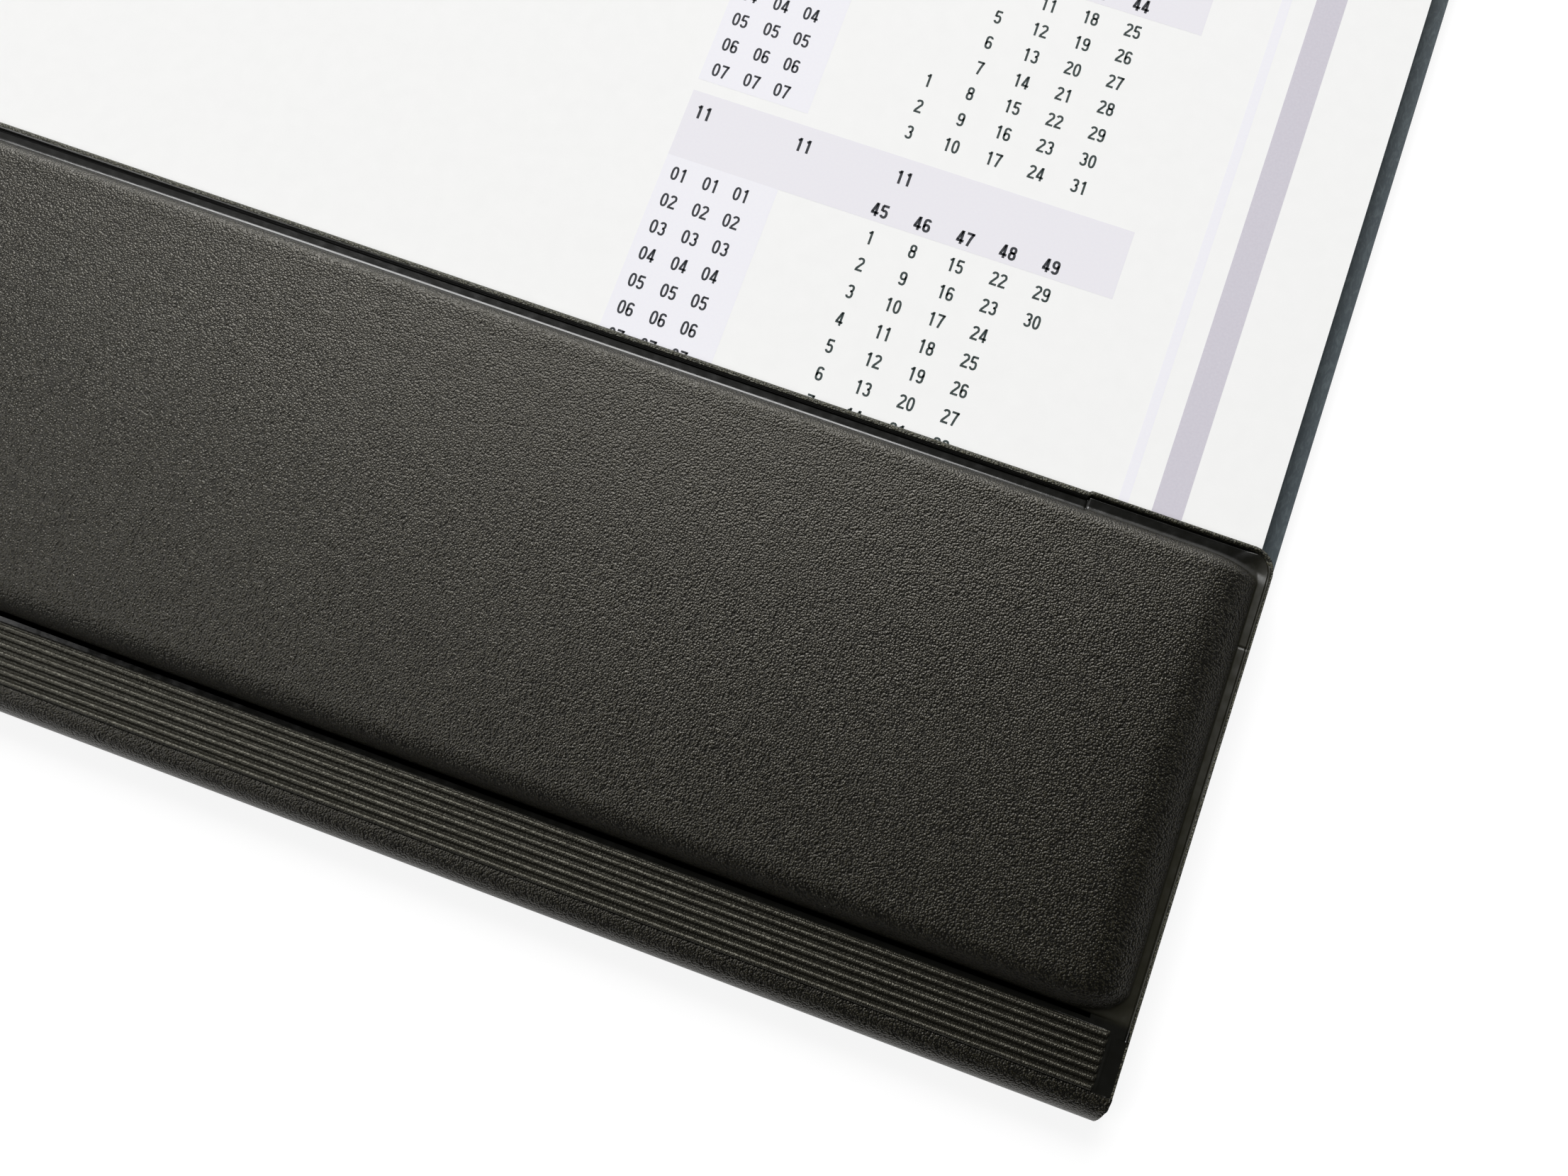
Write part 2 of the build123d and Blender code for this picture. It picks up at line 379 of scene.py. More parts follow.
@dataclass(frozen=True)
class PvcLining(Finish):
    """Thin calendered PVC film on the underside, with a fine satin emboss that looks soft and dull."""

    emboss: float = 0.25
    depth: float = 0.012
    patch: float = 18.0
    worn_colour: str = "#3b3b3c"
    worn_span: tuple[float, float] = (0.5, 0.8)
    worn_share: float = 0.5

    def pattern(self, node: NodeMaker, place: bpy.types.NodeSocket) -> dict:
        """Adds a fine emboss and rubbed, paler patches.

        Args:
            node: Adds a node to the material.
            place: The object coordinates, in metres.

        Returns:
            What feeds the shader's inputs.
        """
        fine = node("TexVoronoi", {"Vector": place, "Scale": METRE / self.emboss})
        bump = node("Bump", {"Height": fine, "Distance": self.depth * MM, "Strength": 1.0})
        rub = node("TexNoise", {"Vector": place, "Scale": METRE / self.patch, "Detail": 5.0})
        worn = node("MapRange", {
            "Value": rub, "From Min": self.worn_span[0], "From Max": self.worn_span[1],
            "To Max": self.worn_share,
        })
        tone = node("Mix", {"Factor": worn, MIX_A: self.colour, MIX_B: self.worn_colour}, **COLOURS)
        return {"Base Color": tone, "Normal": bump}


@dataclass(frozen=True)
class OffsetPaper(Finish):
    """Uncoated white offset paper, guillotined into a block.

    The face is dull with a faint cloudy formation, and on the cut edges the gaps between the sheets are
    painted as fine lines of shade.
    """

    shade_colour: str = "#f0f0ef"
    # Painted shade in the gaps between the sheets on the cut edge
    edge_colour: str = "#b9b9b6"
    formation: float = 2.5
    # The tooth of real paper is too fine to show, so it is drawn this coarse
    tooth: float = 0.12
    depth: float = 0.006
    sheet: float = 0.1
    gap_share: float = 0.18

    def pattern(self, node: NodeMaker, place: bpy.types.NodeSocket) -> dict:
        """Adds the formation, the tooth and the painted shade lines between the sheets on the cut edge.

        Args:
            node: Adds a node to the material.
            place: The object coordinates, in metres.

        Returns:
            What feeds the shader's inputs.
        """
        cloudy = node("TexNoise", {"Vector": place, "Scale": METRE / self.formation, "Detail": 4.0})
        face = node("Mix", {"Factor": cloudy, MIX_A: self.colour, MIX_B: self.shade_colour}, **COLOURS)
        # Painted shade: a dark line at each gap between sheets, on upright faces only
        level = node("SeparateXYZ", {"Vector": place}, "Z")
        count = node("Math", {0: level, 1: METRE / self.sheet}, operation="MULTIPLY")
        share = node("Math", {0: count, 1: 0.5}, operation="PINGPONG")
        gap = node("MapRange", {"Value": share, "From Max": self.gap_share, "To Min": 1.0, "To Max": 0.0})
        facing = node("SeparateXYZ", {"Vector": node("NewGeometry", output="True Normal")}, "Z")
        upright = node("Math", {0: facing}, operation="ABSOLUTE")
        side = node("Math", {0: upright, 1: 0.5}, operation="LESS_THAN")
        line = node("Math", {0: gap, 1: side}, operation="MULTIPLY")
        tone = node("Mix", {"Factor": line, MIX_A: face, MIX_B: self.edge_colour}, **COLOURS)
        tooth = node("TexNoise", {"Vector": place, "Scale": METRE / self.tooth, "Detail": 2.0})
        bump = node("Bump", {"Height": tooth, "Distance": self.depth * MM, "Strength": 1.0})
        return {"Base Color": tone, "Normal": bump}


@dataclass(frozen=True)
class OffsetInk(Finish):
    """Offset ink on uncoated paper: it soaks in, so it is as dull as the sheet and a little mottled."""

    mottle: float = 0.35
    mottle_colour: str = WHITE
    mottle_span: tuple[float, float] = (0.35, 0.75)
    mottle_share: float = 0.3

    def pattern(self, node: NodeMaker, place: bpy.types.NodeSocket) -> dict:
        """Adds the mottle of ink on paper tooth.

        Args:
            node: Adds a node to the material.
            place: The object coordinates, in metres.

        Returns:
            What feeds the shader's inputs.
        """
        spots = node("TexNoise", {"Vector": place, "Scale": METRE / self.mottle, "Detail": 3.0})
        amount = node("MapRange", {
            "Value": spots, "From Min": self.mottle_span[0], "From Max": self.mottle_span[1],
            "To Max": self.mottle_share,
        })
        tone = node("Mix", {"Factor": amount, MIX_A: self.colour, MIX_B: self.mottle_colour}, **COLOURS)
        return {"Base Color": tone}


@dataclass(frozen=True)
class GreyBoard(Finish):
    """Solid pad board, dyed dark and calendered: dull, with paper fibres."""

    fibre: float = 0.5
    fibre_stretch: tuple[float, float, float] = (1.0, 0.35, 2.5)
    fibre_bend: float = 1.2
    fibre_colour: str = "#5b666a"
    fibre_span: tuple[float, float] = (0.45, 0.75)
    fibre_share: float = 0.8
    deep_colour: str = "#39434a"
    cloud: float = 12.0
    depth: float = 0.02

    def pattern(self, node: NodeMaker, place: bpy.types.NodeSocket) -> dict:
        """Adds long fibres and a slow cloudy tone.

        Args:
            node: Adds a node to the material.
            place: The object coordinates, in metres.

        Returns:
            What feeds the shader's inputs.
        """
        drawn = node("Mapping", {"Vector": place, "Scale": self.fibre_stretch})
        fibres = node("TexNoise", {
            "Vector": drawn, "Scale": METRE / self.fibre, "Detail": 5.0, "Distortion": self.fibre_bend,
        })
        pale = node("MapRange", {
            "Value": fibres, "From Min": self.fibre_span[0], "From Max": self.fibre_span[1],
            "To Max": self.fibre_share,
        })
        clouds = node("TexNoise", {"Vector": place, "Scale": METRE / self.cloud, "Detail": 2.0})
        ground = node("Mix", {"Factor": clouds, MIX_A: self.colour, MIX_B: self.deep_colour}, **COLOURS)
        tone = node("Mix", {"Factor": pale, MIX_A: ground, MIX_B: self.fibre_colour}, **COLOURS)
        bump = node("Bump", {"Height": fibres, "Distance": self.depth * MM, "Strength": 1.0})
        return {"Base Color": tone, "Normal": bump}


@dataclass(frozen=True)
class PaddingGum(Finish):
    """Brushed white padding gum: a thin rubbery film with brush ridges, a little glossy."""

    thick_colour: str = "#c9c4b2"
    brush: float = 0.6
    brush_stretch: tuple[float, float, float] = (0.05, 1.0, 1.0)
    depth: float = 0.05

    def pattern(self, node: NodeMaker, place: bpy.types.NodeSocket) -> dict:
        """Adds ridges along the brush stroke.

        Args:
            node: Adds a node to the material.
            place: The object coordinates, in metres.

        Returns:
            What feeds the shader's inputs.
        """
        stroke = node("Mapping", {"Vector": place, "Scale": self.brush_stretch})
        ridges = node("TexNoise", {"Vector": stroke, "Scale": METRE / self.brush, "Detail": 4.0})
        tone = node("Mix", {"Factor": ridges, MIX_A: self.colour, MIX_B: self.thick_colour}, **COLOURS)
        bump = node("Bump", {"Height": ridges, "Distance": self.depth * MM, "Strength": 1.0})
        return {"Base Color": tone, "Normal": bump}


@dataclass(frozen=True)
class CellFoam(Finish):
    """Open-cell polyurethane foam: matte, with pores as small pits that are painted dark as shade."""

    pore_colour: str = "#55554f"
    pore_span: tuple[float, float] = (0.1, 0.5)
    cell: float = 0.7
    depth: float = 0.3
    relief: float = 0.8

    def pattern(self, node: NodeMaker, place: bpy.types.NodeSocket) -> dict:
        """Adds a pit in each cell, painted dark as shade.

        Args:
            node: Adds a node to the material.
            place: The object coordinates, in metres.

        Returns:
            What feeds the shader's inputs.
        """
        cells = node("TexVoronoi", {"Vector": place, "Scale": METRE / self.cell})
        # Painted shade in the pits
        pit = node("MapRange", {
            "Value": cells, "From Min": self.pore_span[0], "From Max": self.pore_span[1],
            "To Min": 1.0, "To Max": 0.0,
        })
        tone = node("Mix", {"Factor": pit, MIX_A: self.colour, MIX_B: self.pore_colour}, **COLOURS)
        bump = node("Bump", {"Height": cells, "Distance": self.depth * MM, "Strength": self.relief})
        return {"Base Color": tone, "Normal": bump}


CUSHION_PVC = GrainedPvc("grained_soft_pvc", "#252318", 0.35, 1.53, "#fffaee")
# The bead's grain also takes painted shade in its creases
BEAD_PVC = GrainedPvc(
    "rough_bead_pvc", "#444233", 0.45, 1.53, "#fffff0", pebble=0.26, depth=0.12,
    crease_colour="#0c0c09", dust_spacing=3.0,
)
SMOOTH_PVC = WeldedPvc("welded_smooth_pvc", "#0f0f0c", 0.14, 1.53)
# The ribs' grain also takes painted shade in its creases
RIB_PVC = GrainedPvc(
    "rib_pvc", "#25231b", 0.4, 1.53, "#fffbe8", pebble=0.2, depth=0.06,
    crease_colour="#0f0e0b", dust_spacing=6.0,
)
LINING_PVC = PvcLining("pvc_lining_film", "#2b2b2c", 0.55, 1.53)
SHEET_PAPER = OffsetPaper("white_offset_paper", "#f4f4f3", 0.85, 1.5)
DATE_INK = OffsetInk("dark_offset_ink", "#22302f", 0.75, 1.5, mottle_colour="#5c6a69")
LABEL_INK = OffsetInk("black_offset_ink", "#1c1f26", 0.75, 1.5, mottle_colour="#4c5058")
PANEL_INK = OffsetInk("pale_lavender_tint", "#e7e5eb", 0.8, 1.5, mottle_colour="#ecebee")
BLOCK_INK = OffsetInk("faint_lavender_tint", "#edecf2", 0.8, 1.5, mottle_colour="#f3f3f5")
STRIPE_INK = OffsetInk("lavender_tint", "#c9c5cf", 0.8, 1.5, mottle_colour="#dbd8df")
DARK_BOARD = GreyBoard("dyed_pad_board", "#465054", 0.7, 1.5)
SHEET_GUM = PaddingGum("padding_gum", "#e4e0d2", 0.35, 1.5)
TAPE_FILM = PaddingGum(
    "double_sided_tape", "#dcd8c6", 0.3, 1.48, thick_colour="#cfcab4", brush=0.9, depth=0.01
)
FOAM = CellFoam("open_cell_foam", "#9a9a97", 0.9, 1.5)


@dataclass
class Palette:
    """The finished materials that several pieces share."""

    grained: bpy.types.Material = field(default_factory=CUSHION_PVC.build)
    welded: bpy.types.Material = field(default_factory=SMOOTH_PVC.build)
    bead: bpy.types.Material = field(default_factory=BEAD_PVC.build)
    lining: bpy.types.Material = field(default_factory=LINING_PVC.build)
    ribbed: bpy.types.Material = field(default_factory=RIB_PVC.build)
    panel: bpy.types.Material = field(default_factory=PANEL_INK.build)
    tint: bpy.types.Material = field(default_factory=BLOCK_INK.build)
    stripe: bpy.types.Material = field(default_factory=STRIPE_INK.build)
    date: bpy.types.Material = field(default_factory=DATE_INK.build)
    label: bpy.types.Material = field(default_factory=LABEL_INK.build)

    def coat(self, piece: bpy.types.Object) -> None:
        """Gives a piece of the bar's skin its finishes, in the order of Zone."""
        for finish in (self.grained, self.welded, self.bead, self.lining, self.ribbed):
            piece.data.materials.append(finish)


@dataclass
class PhotographCamera:
    """The camera at the place and angle of the photograph."""

    azimuth: float = 25.52
    elevation: float = 79.48
    roll: float = -5.81
    place: tuple[float, float, float] = (0.251267, -0.186104, 0.198156)
    lens: float = 33.475
    sensor: float = 36.0
    clip: tuple[float, float] = (0.005, 20.0)

    def build(self) -> None:
        """Makes the camera and sets it as the scene's."""
        turn, rise, lean = (math.radians(a) for a in (self.azimuth, self.elevation, self.roll))
        back = Vector((math.sin(turn) * math.cos(rise), -math.cos(turn) * math.cos(rise), math.sin(rise)))
        level = (-back).cross(Vector((0, 0, 1))).normalized()
        upright = back.cross(level)
        right = math.cos(lean) * level + math.sin(lean) * upright
        up = back.cross(right)
        data = bpy.data.cameras.new("photograph_camera")
        data.lens, data.sensor_width = self.lens, self.sensor
        data.clip_start, data.clip_end = self.clip
        camera = bpy.data.objects.new("photograph_camera", data)
        bpy.context.scene.collection.objects.link(camera)
        turned = Matrix((right, up, back)).transposed().to_4x4()
        camera.matrix_world = Matrix.Translation(self.place) @ turned
        bpy.context.scene.camera = camera


class Zone(Enum):
    """The finishes on the bar's skin, in the order of its material slots."""

    PEBBLED = 0
    WELDED = 1
    BEAD = 2
    LINED = 3
    RIBBED = 4


def paint(piece: bpy.types.Object, upper: np.ndarray, lower: Zone, wall: Zone) -> None:
    """Gives each face of a solid between two grids its finish.

    Args:
        piece: The solid, coated with the palette.
        upper: The zone's number for each face of the upper grid.
        lower: The zone of the lower grid.
        wall: The zone of the wall around them.
    """
    walls = len(piece.data.polygons) - 2 * upper.size
    zones = [upper.ravel(), np.full(upper.size, lower.value), np.full(walls, wall.value)]
    piece.data.polygons.foreach_set("material_index", np.concatenate(zones).astype(np.int32))


@dataclass
class BarShape:
    """Sizes that the pieces of the bar share.

    Those at 0 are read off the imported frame, and the others shape its welds and creases.
    """

    half: float = 0.0
    front: float = 0.0
    rear: float = 0.0
    band_front: float = 0.0
    band_rear: float = 0.0
    lining_bottom: float = 0.0
    lining_top: float = 0.0
    crown_top: float = 0.0
    # Thickness of the flat welded skin, and radius of the rear corners
    flange: float = 0.35
    corner: float = 3.3
    # Tear bead along the edge, and the groove inside it
    bead_side: float = 0.35
    bead_rear: float = 1.02
    bead_corner: float = 0.7
    bead_height: float = 0.36
    bead_squareness: float = 3.0
    groove_side: float = 0.42
    groove_rear: float = 0.24
    groove_depth: float = 0.2
    groove_power: float = 0.7
    # Slope of the weld towards the cushion's foot
    tilt_side: float = 0.34
    tilt_rear: float = -0.05
    tilt_front: float = 0.2
    tilt_margins: tuple[float, float] = (8.0, 12.0)
    # Distance of the cushion's foot from the edges, and the crease along its front
    foot_front: float = 0.6
    foot_side: float = 1.75
    foot_rear: float = 2.8
    crease_depth: float = 0.5
    crease_width: float = 0.86
    crease_step: float = 0.7
    crease_end: float = 0.15
    crease_fade: float = 6.0
    # Prints of the corner electrodes, and the marks where two prints meet
    electrode_rear: float = 26.2
    electrode_side: float = 13.6
    electrode_step: float = 0.25
    electrode_blur: float = 0.2
    notch: float = 0.14
    notch_depth: float = 0.14
    notch_rear_reach: float = 3.5
    notch_side_reach: float = 2.5
    # The outermost rim that has no marks, and a distance that is past every edge
    edge_reach: float = 0.02
    far: float = 1e3

    @classmethod
    def from_frame(cls) -> "BarShape":
        """Reads the bar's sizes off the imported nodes.

        Returns:
            The bar's shape.
        """
        cover_low, cover_high = node_box("cushion_cover")
        band_low, _ = node_box("hinge_band_front")
        roll_low, _ = node_box("front_roll")
        lining_low, lining_high = node_box("cushion_lining")
        return cls(
            half=cover_high[0], front=roll_low[1], rear=cover_high[1], band_front=band_low[1],
            band_rear=cover_low[1], lining_bottom=lining_low[2], lining_top=lining_high[2],
            crown_top=cover_high[2],
        )

    @property
    def band_level(self) -> float:
        """Height of the flat welded skin."""
        return self.lining_top + self.flange

    def crease(self, x: np.ndarray, y: np.ndarray) -> np.ndarray:
        """Depth of the crease that runs along the cushion's front foot.

        Args:
            x: Places along the bar.
            y: Places across the bar.

        Returns:
            The depth at each place.
        """
        foot = self.band_rear + self.foot_front
        start = self.band_rear - self.crease_width
        down = smooth_step(y, start, self.band_rear - self.crease_step * self.crease_width)
        across = down * (1 - smooth_step(y, foot, foot + self.crease_end))
        ends = smooth_step(self.half - np.abs(x), self.foot_side, self.foot_side + self.crease_fade)
        return self.crease_depth * across * ends

    def electrode(self, x: np.ndarray, y: np.ndarray) -> np.ndarray:
        """Share of the corner electrode's print at each place: 1 in the rear corners, 0 elsewhere.

        Args:
            x: Places along the bar.
            y: Places across the bar.

        Returns:
            The share.
        """
        blur = self.electrode_blur
        end, side = self.half - self.electrode_rear, self.rear - self.electrode_side
        return smooth_step(np.abs(x), end - blur, end + blur) * smooth_step(y, side - blur, side + blur)

    def notches(self, x: np.ndarray, y: np.ndarray) -> np.ndarray:
        """Depth share of the fine marks where one electrode's print meets the next.

        Args:
            x: Places along the bar.
            y: Places across the bar.

        Returns:
            The share.
        """
        along = np.exp(-(((np.abs(x) - self.half + self.electrode_rear) / self.notch) ** 2))
        across = np.exp(-(((y - self.rear + self.electrode_side) / self.notch) ** 2))
        at_rear = y > self.rear - self.notch_rear_reach
        at_side = np.abs(x) > self.half - self.notch_side_reach
        return np.where(at_rear, along, 0) + np.where(at_side & ~at_rear, across, 0)

    def edge_profile(self, x: np.ndarray, y: np.ndarray, with_rear: bool) -> tuple[np.ndarray, np.ndarray]:
        """Height of the tear bead and its groove over the flat skin.

        Args:
            x: Places along the bar.
            y: Places across the bar.
            with_rear: Whether the bead also runs along the rear edge.

        Returns:
            The height over the flat skin, and the distance from the outer edge.
        """
        in_side = self.half - np.abs(x)
        in_rear = self.rear - y if with_rear else np.full_like(y, self.far)
        round_x, round_y = self.corner - in_side, self.corner - in_rear
        cornered = (round_x > 0) & (round_y > 0)
        inset = np.where(cornered, self.corner - np.hypot(round_x, round_y), np.minimum(in_side, in_rear))
        side = np.clip(0.5 + (in_rear - in_side) / (2 * self.corner), 0, 1)
        corner_print = self.electrode(x, y) if with_rear else np.zeros_like(x)
        bead_rear = self.bead_rear + (self.bead_corner - self.bead_rear) * corner_print
        bead = side * self.bead_side + (1 - side) * bead_rear
        groove = side * self.groove_side + (1 - side) * self.groove_rear
        over = np.clip(inset / bead, 0, 1)
        hump = self.bead_height * (1 - np.abs(2 * over - 1) ** self.bead_squareness) ** 0.5
        into = np.clip((inset - bead) / groove, 0, 1)
        dip = -self.groove_depth * np.sin(np.pi * into) ** self.groove_power
        rise = smooth_step(y, self.front + self.tilt_margins[0], self.rear - self.tilt_margins[1])
        tilt = side * self.tilt_side * (self.tilt_front + (1 - self.tilt_front) * rise)
        tilt = tilt + (1 - side) * self.tilt_rear
        foot = side * self.foot_side + (1 - side) * self.foot_rear
        dip = dip + tilt * np.clip(foot - np.maximum(inset, bead), 0, None)
        height = np.where(inset < bead, hump, dip)
        if with_rear:
            flat = (inset > self.edge_reach).astype(float)
            height = height - self.notch_depth * self.notches(x, y) * flat
        return height, inset


@dataclass
class Cushion:
    """The padded part of the bar: the cover and its foam core."""

    bar: BarShape
    palette: Palette
    # Widths of the shoulders, and how round and full they are
    shoulder: float = 2.0
    front_shoulder: float = 4.4
    end_shoulder: float = 8.0
    roundness: float = 2.6
    rear_roundness: float = 2.3
    fullness: float = 0.88
    rear_fullness: float = 0.5
    # Height of the rim over the lining, the skin's thickness, and the fillet at the foot
    rim: float = 3.0
    skin: float = 0.5
    thinnest: float = 0.6
    fillet: float = 0.62
    fillet_rise: float = 0.3
    foot_radius: float = 0.97
    slope_run: float = 4
    # Slow waves of the top, and the step in the rear edge at the corner electrodes
    undulation: float = 0.03
    wave_lengths: tuple[float, float] = (23, 17)
    step_run: tuple[float, float] = (4.5, 1.5)
    # Foam core: its gap to the skin, the height of its edge and its lift off the lining
    foam_play: float = 0.25
    foam_edge: float = 0.3
    foam_lift: float = 0.02
    foam_spans: tuple = ((0.6, 0.12), (3.0, 0.4))
    foam_step: float = 4.0
    # Grid of the cover, and the rows of it that the bead can reach at the rear
    end_spans: tuple = ((3.2, 0.1), (5.6, 0.28))
    front_spans: tuple = ((1.6, 0.1), (3.0, 0.25))
    rear_spans: tuple = ((3.8, 0.1), (3.0, 0.25))
    column_step: float = 2.4
    row_step: float = 2.2
    near_print: tuple = (-0.5, 0.5, 11)
    bead_rows: int = 20
    # How far the skin that is drawn down to the foot is rubbed, and painted paler as a reflection
    drawn_rub: float = 0.45
    # The crown: the share that is drawn, and the cloth that shapes the rest
    drawn_share: float = 0.45
    arch_run: float = 30.0
    least_rise: float = 0.05
    cloth_columns: int = 149
    cloth_rows: int = 19
    cloth_steps: int = 20
    pressure: float = 4.0
    stretch_stiffness: float = 30.0
    bend_stiffness: float = 2.0
    lift_places: tuple = ()
    lift_heights: np.ndarray | None = None

    def crown(self, x: np.ndarray, y: np.ndarray) -> np.ndarray:
        """Height that the cushion's top gains over its rim.

        Args:
            x: Places along the bar.
            y: Places across the bar.

        Returns:
            The height at each place.
        """
        columns, rows = self.lift_places
        u = np.clip(np.interp(x, columns, np.arange(len(columns))), 0, len(columns) - 1.001)
        v = np.clip(np.interp(y, rows, np.arange(len(rows))), 0, len(rows) - 1.001)
        i, j = u.astype(int), v.astype(int)
        a, b = u - i, v - j
        a, b = a * a * (3 - 2 * a), b * b * (3 - 2 * b)
        lift = self.lift_heights
        low = lift[j, i] * (1 - a) + lift[j, i + 1] * a
        high = lift[j + 1, i] * (1 - a) + lift[j + 1, i + 1] * a
        return low * (1 - b) + high * b

    def pillow(self, x: np.ndarray, y: np.ndarray, inset: float) -> tuple[np.ndarray, np.ndarray]:
        """The crowned form over the flat skin.

        Args:
            x: Places along the bar.
            y: Places across the bar.
            inset: How much smaller the form is than the cushion's outside.

        Returns:
            The share of the form's full height, and the radius share, which is 1 at the foot.
        """
        bar = self.bar
        in_side = bar.half - bar.foot_side - inset - np.abs(x)
        in_rear = bar.rear - bar.foot_rear - inset - y
        in_front = y - bar.band_rear - bar.foot_front - inset
        share_x = np.clip(1 - in_side / (self.end_shoulder - inset), 0, None)
        share_rear = np.clip(1 - in_rear / (self.shoulder - inset), 0, None)
        share_front = np.clip(1 - in_front / (self.front_shoulder - inset), 0, None)
        radius = np.hypot(share_x, np.maximum(share_rear, share_front))
        at_rear = share_rear ** 2 / np.maximum(radius, 1e-6) ** 2
        power = self.roundness + (self.rear_roundness - self.roundness) * at_rear
        full = self.fullness + (self.rear_fullness - self.fullness) * at_rear
        return np.clip(1 - radius ** power, 0, 1) ** full, radius

    def simulate(self) -> None:
        """Finds how far the cushion's top rises over its rim.

        A share of the crown is a drawn arch. Cloth under pressure then gives the shape of the
        rest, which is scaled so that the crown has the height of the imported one.
        """
        bar = self.bar
        half = bar.half - bar.foot_side
        columns = np.linspace(-half, half, self.cloth_columns)
        rows = np.linspace(bar.band_rear + bar.foot_front, bar.rear - bar.foot_rear, self.cloth_rows)
        self.lift_places = (columns, rows)
        x, y = np.meshgrid(columns, rows)
        height = bar.crown_top - bar.lining_top - self.rim
        across = (rows - rows[0]) / (rows[-1] - rows[0])
        ends = smooth_step(half - np.abs(columns), 0, self.arch_run)
        arch = (1 - (2 * across - 1) ** 2)[:, None] * ends[None, :]
        start = self.drawn_share * height * arch
        base = bar.lining_top + self.rim
        solid = solid_between(grid_points(x, y, base + start), grid_points(x, y, bar.lining_top))
        pad = new_piece("cushion_blank", *solid)
        count = x.size
        edge = np.zeros(x.shape, bool)
        edge[[0, -1], :] = True
        edge[:, [0, -1]] = True
        held = np.concatenate([np.flatnonzero(edge.ravel()), np.arange(count, 2 * count)])
        group = pad.vertex_groups.new(name="welded")
        group.add([int(n) for n in held], 1.0, "REPLACE")
        cloth = pad.modifiers.new("puff", "CLOTH")
        cloth.settings.vertex_group_mass = "welded"
        cloth.settings.use_pressure = True
        cloth.settings.uniform_pressure_force = self.pressure
        cloth.settings.tension_stiffness = self.stretch_stiffness
        cloth.settings.compression_stiffness = self.stretch_stiffness
        cloth.settings.bending_stiffness = self.bend_stiffness
        cloth.settings.effector_weights.gravity = 0.0
        scene = bpy.context.scene
        for step in range(1, self.cloth_steps + 1):
            scene.frame_set(step)
        grown = pad.evaluated_get(bpy.context.evaluated_depsgraph_get()).to_mesh()
        heights = np.array([v.co.z for v in grown.vertices])[:count].reshape(x.shape) / MM
        scene.frame_set(1)
        bpy.data.objects.remove(pad)
        lift = np.clip(heights - base - start, 0, None)
        most = float(lift.max())
        rest = height * (1 - self.drawn_share)
        if most > self.least_rise:
            LOG.info("cushion cloth rose %.2f mm, scaled to %.2f mm", most, rest)
            self.lift_heights = start + lift * (rest / most)
        else:
            LOG.warning("cushion cloth rose only %.3f mm, so the whole crown is drawn", most)
            self.lift_heights = start + rest * arch

    def surface(self, x: np.ndarray, y: np.ndarray) -> tuple[np.ndarray, np.ndarray, np.ndarray]:
        """Outer surface of the cover: weld band, foot and cushion.

        Args:
            x: Places along the bar.
            y: Places across the bar.

        Returns:
            The height, the distance from the outer edge and the radius share of the cushion.
        """
        bar = self.bar
        edge, inset = bar.edge_profile(x, y, True)
        share, radius = self.pillow(x, y, 0.0)
        outside = np.clip((radius - 1) * self.shoulder / self.fillet, 0, 1)
        run = smooth_step(y, bar.band_rear, bar.band_rear + self.slope_run)
        sloped = self.fillet_rise * (1 - outside) ** 2 * run
        full = self.rim - bar.flange - self.fillet_rise
        along, across = self.wave_lengths
        places = zip(x.ravel(), y.ravel())
        waves = np.array([noise.noise(Vector((a / along, b / across, 5.0))) for a, b in places])
        top = (full + self.crown(x, y) + self.undulation * waves.reshape(x.shape)) * share
        raised = np.where(radius < 1, self.fillet_rise + top, edge + sloped)
        return bar.band_level + raised - bar.crease(x, y), inset, radius

    def rounded(self, x: np.ndarray, y: np.ndarray) -> tuple[np.ndarray, np.ndarray]:
        """Draws the square grid's rear corners in to the bar's round corners.

        Args:
            x: Places along the bar.
            y: Places across the bar.

        Returns:
            The new places along and across the bar.
        """
        bar = self.bar
        over_x = np.abs(x) - (bar.half - bar.corner)
        over_y = y - (bar.rear - bar.corner)
        inside = (over_x > 0) & (over_y > 0)
        far = np.maximum(over_x, over_y)
        scale = np.where(inside, far / np.maximum(np.hypot(over_x, over_y), 1e-9), 1)
        new_x = np.where(inside, np.sign(x) * (bar.half - bar.corner + over_x * scale), x)
        new_y = np.where(inside, bar.rear - bar.corner + over_y * scale, y)
        return new_x, new_y

    def build_cover(self) -> bpy.types.Object:
        """Builds the skin over the cushion with its welded edge, as a hollow shell.

        Returns:
            The cover.
        """
        bar = self.bar
        columns = graded(-bar.half, bar.half, self.end_spans, self.column_step, self.end_spans)
        rows = graded(bar.band_rear, bar.rear, self.front_spans, self.row_step, self.rear_spans)
        near = np.linspace(*self.near_print)
        marks = [side * (bar.half - bar.electrode_rear + offset) for side in (-1, 1) for offset in near]
        columns = np.sort(np.concatenate([columns, marks]))
        rows = np.sort(np.concatenate([rows, bar.rear - bar.electrode_side + near]))
        x, y = self.rounded(*np.meshgrid(columns, rows))
        height, inset, radius = self.surface(x, y)
        hollow_share, _ = self.pillow(x, y, self.skin)
        hollow = bar.lining_top + (self.rim - self.skin + self.crown(x, y)) * hollow_share
        hollow = np.minimum(hollow, height - self.thinnest * self.skin)
        hollow = np.where(radius < 1, hollow, bar.lining_top)
        start, end = (bar.rear - run for run in self.step_run)
        shift = bar.electrode_step * bar.electrode(x, y) * smooth_step(y, start, end)
        solid = solid_between(grid_points(x, y + shift, height), grid_points(x, y + shift, hollow))
        cover = new_piece("cushion_cover_skin", *solid)
        self.dress_cover(cover, x, y, inset, radius)
        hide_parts("cushion_cover")
        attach(cover, "flap")
        return cover

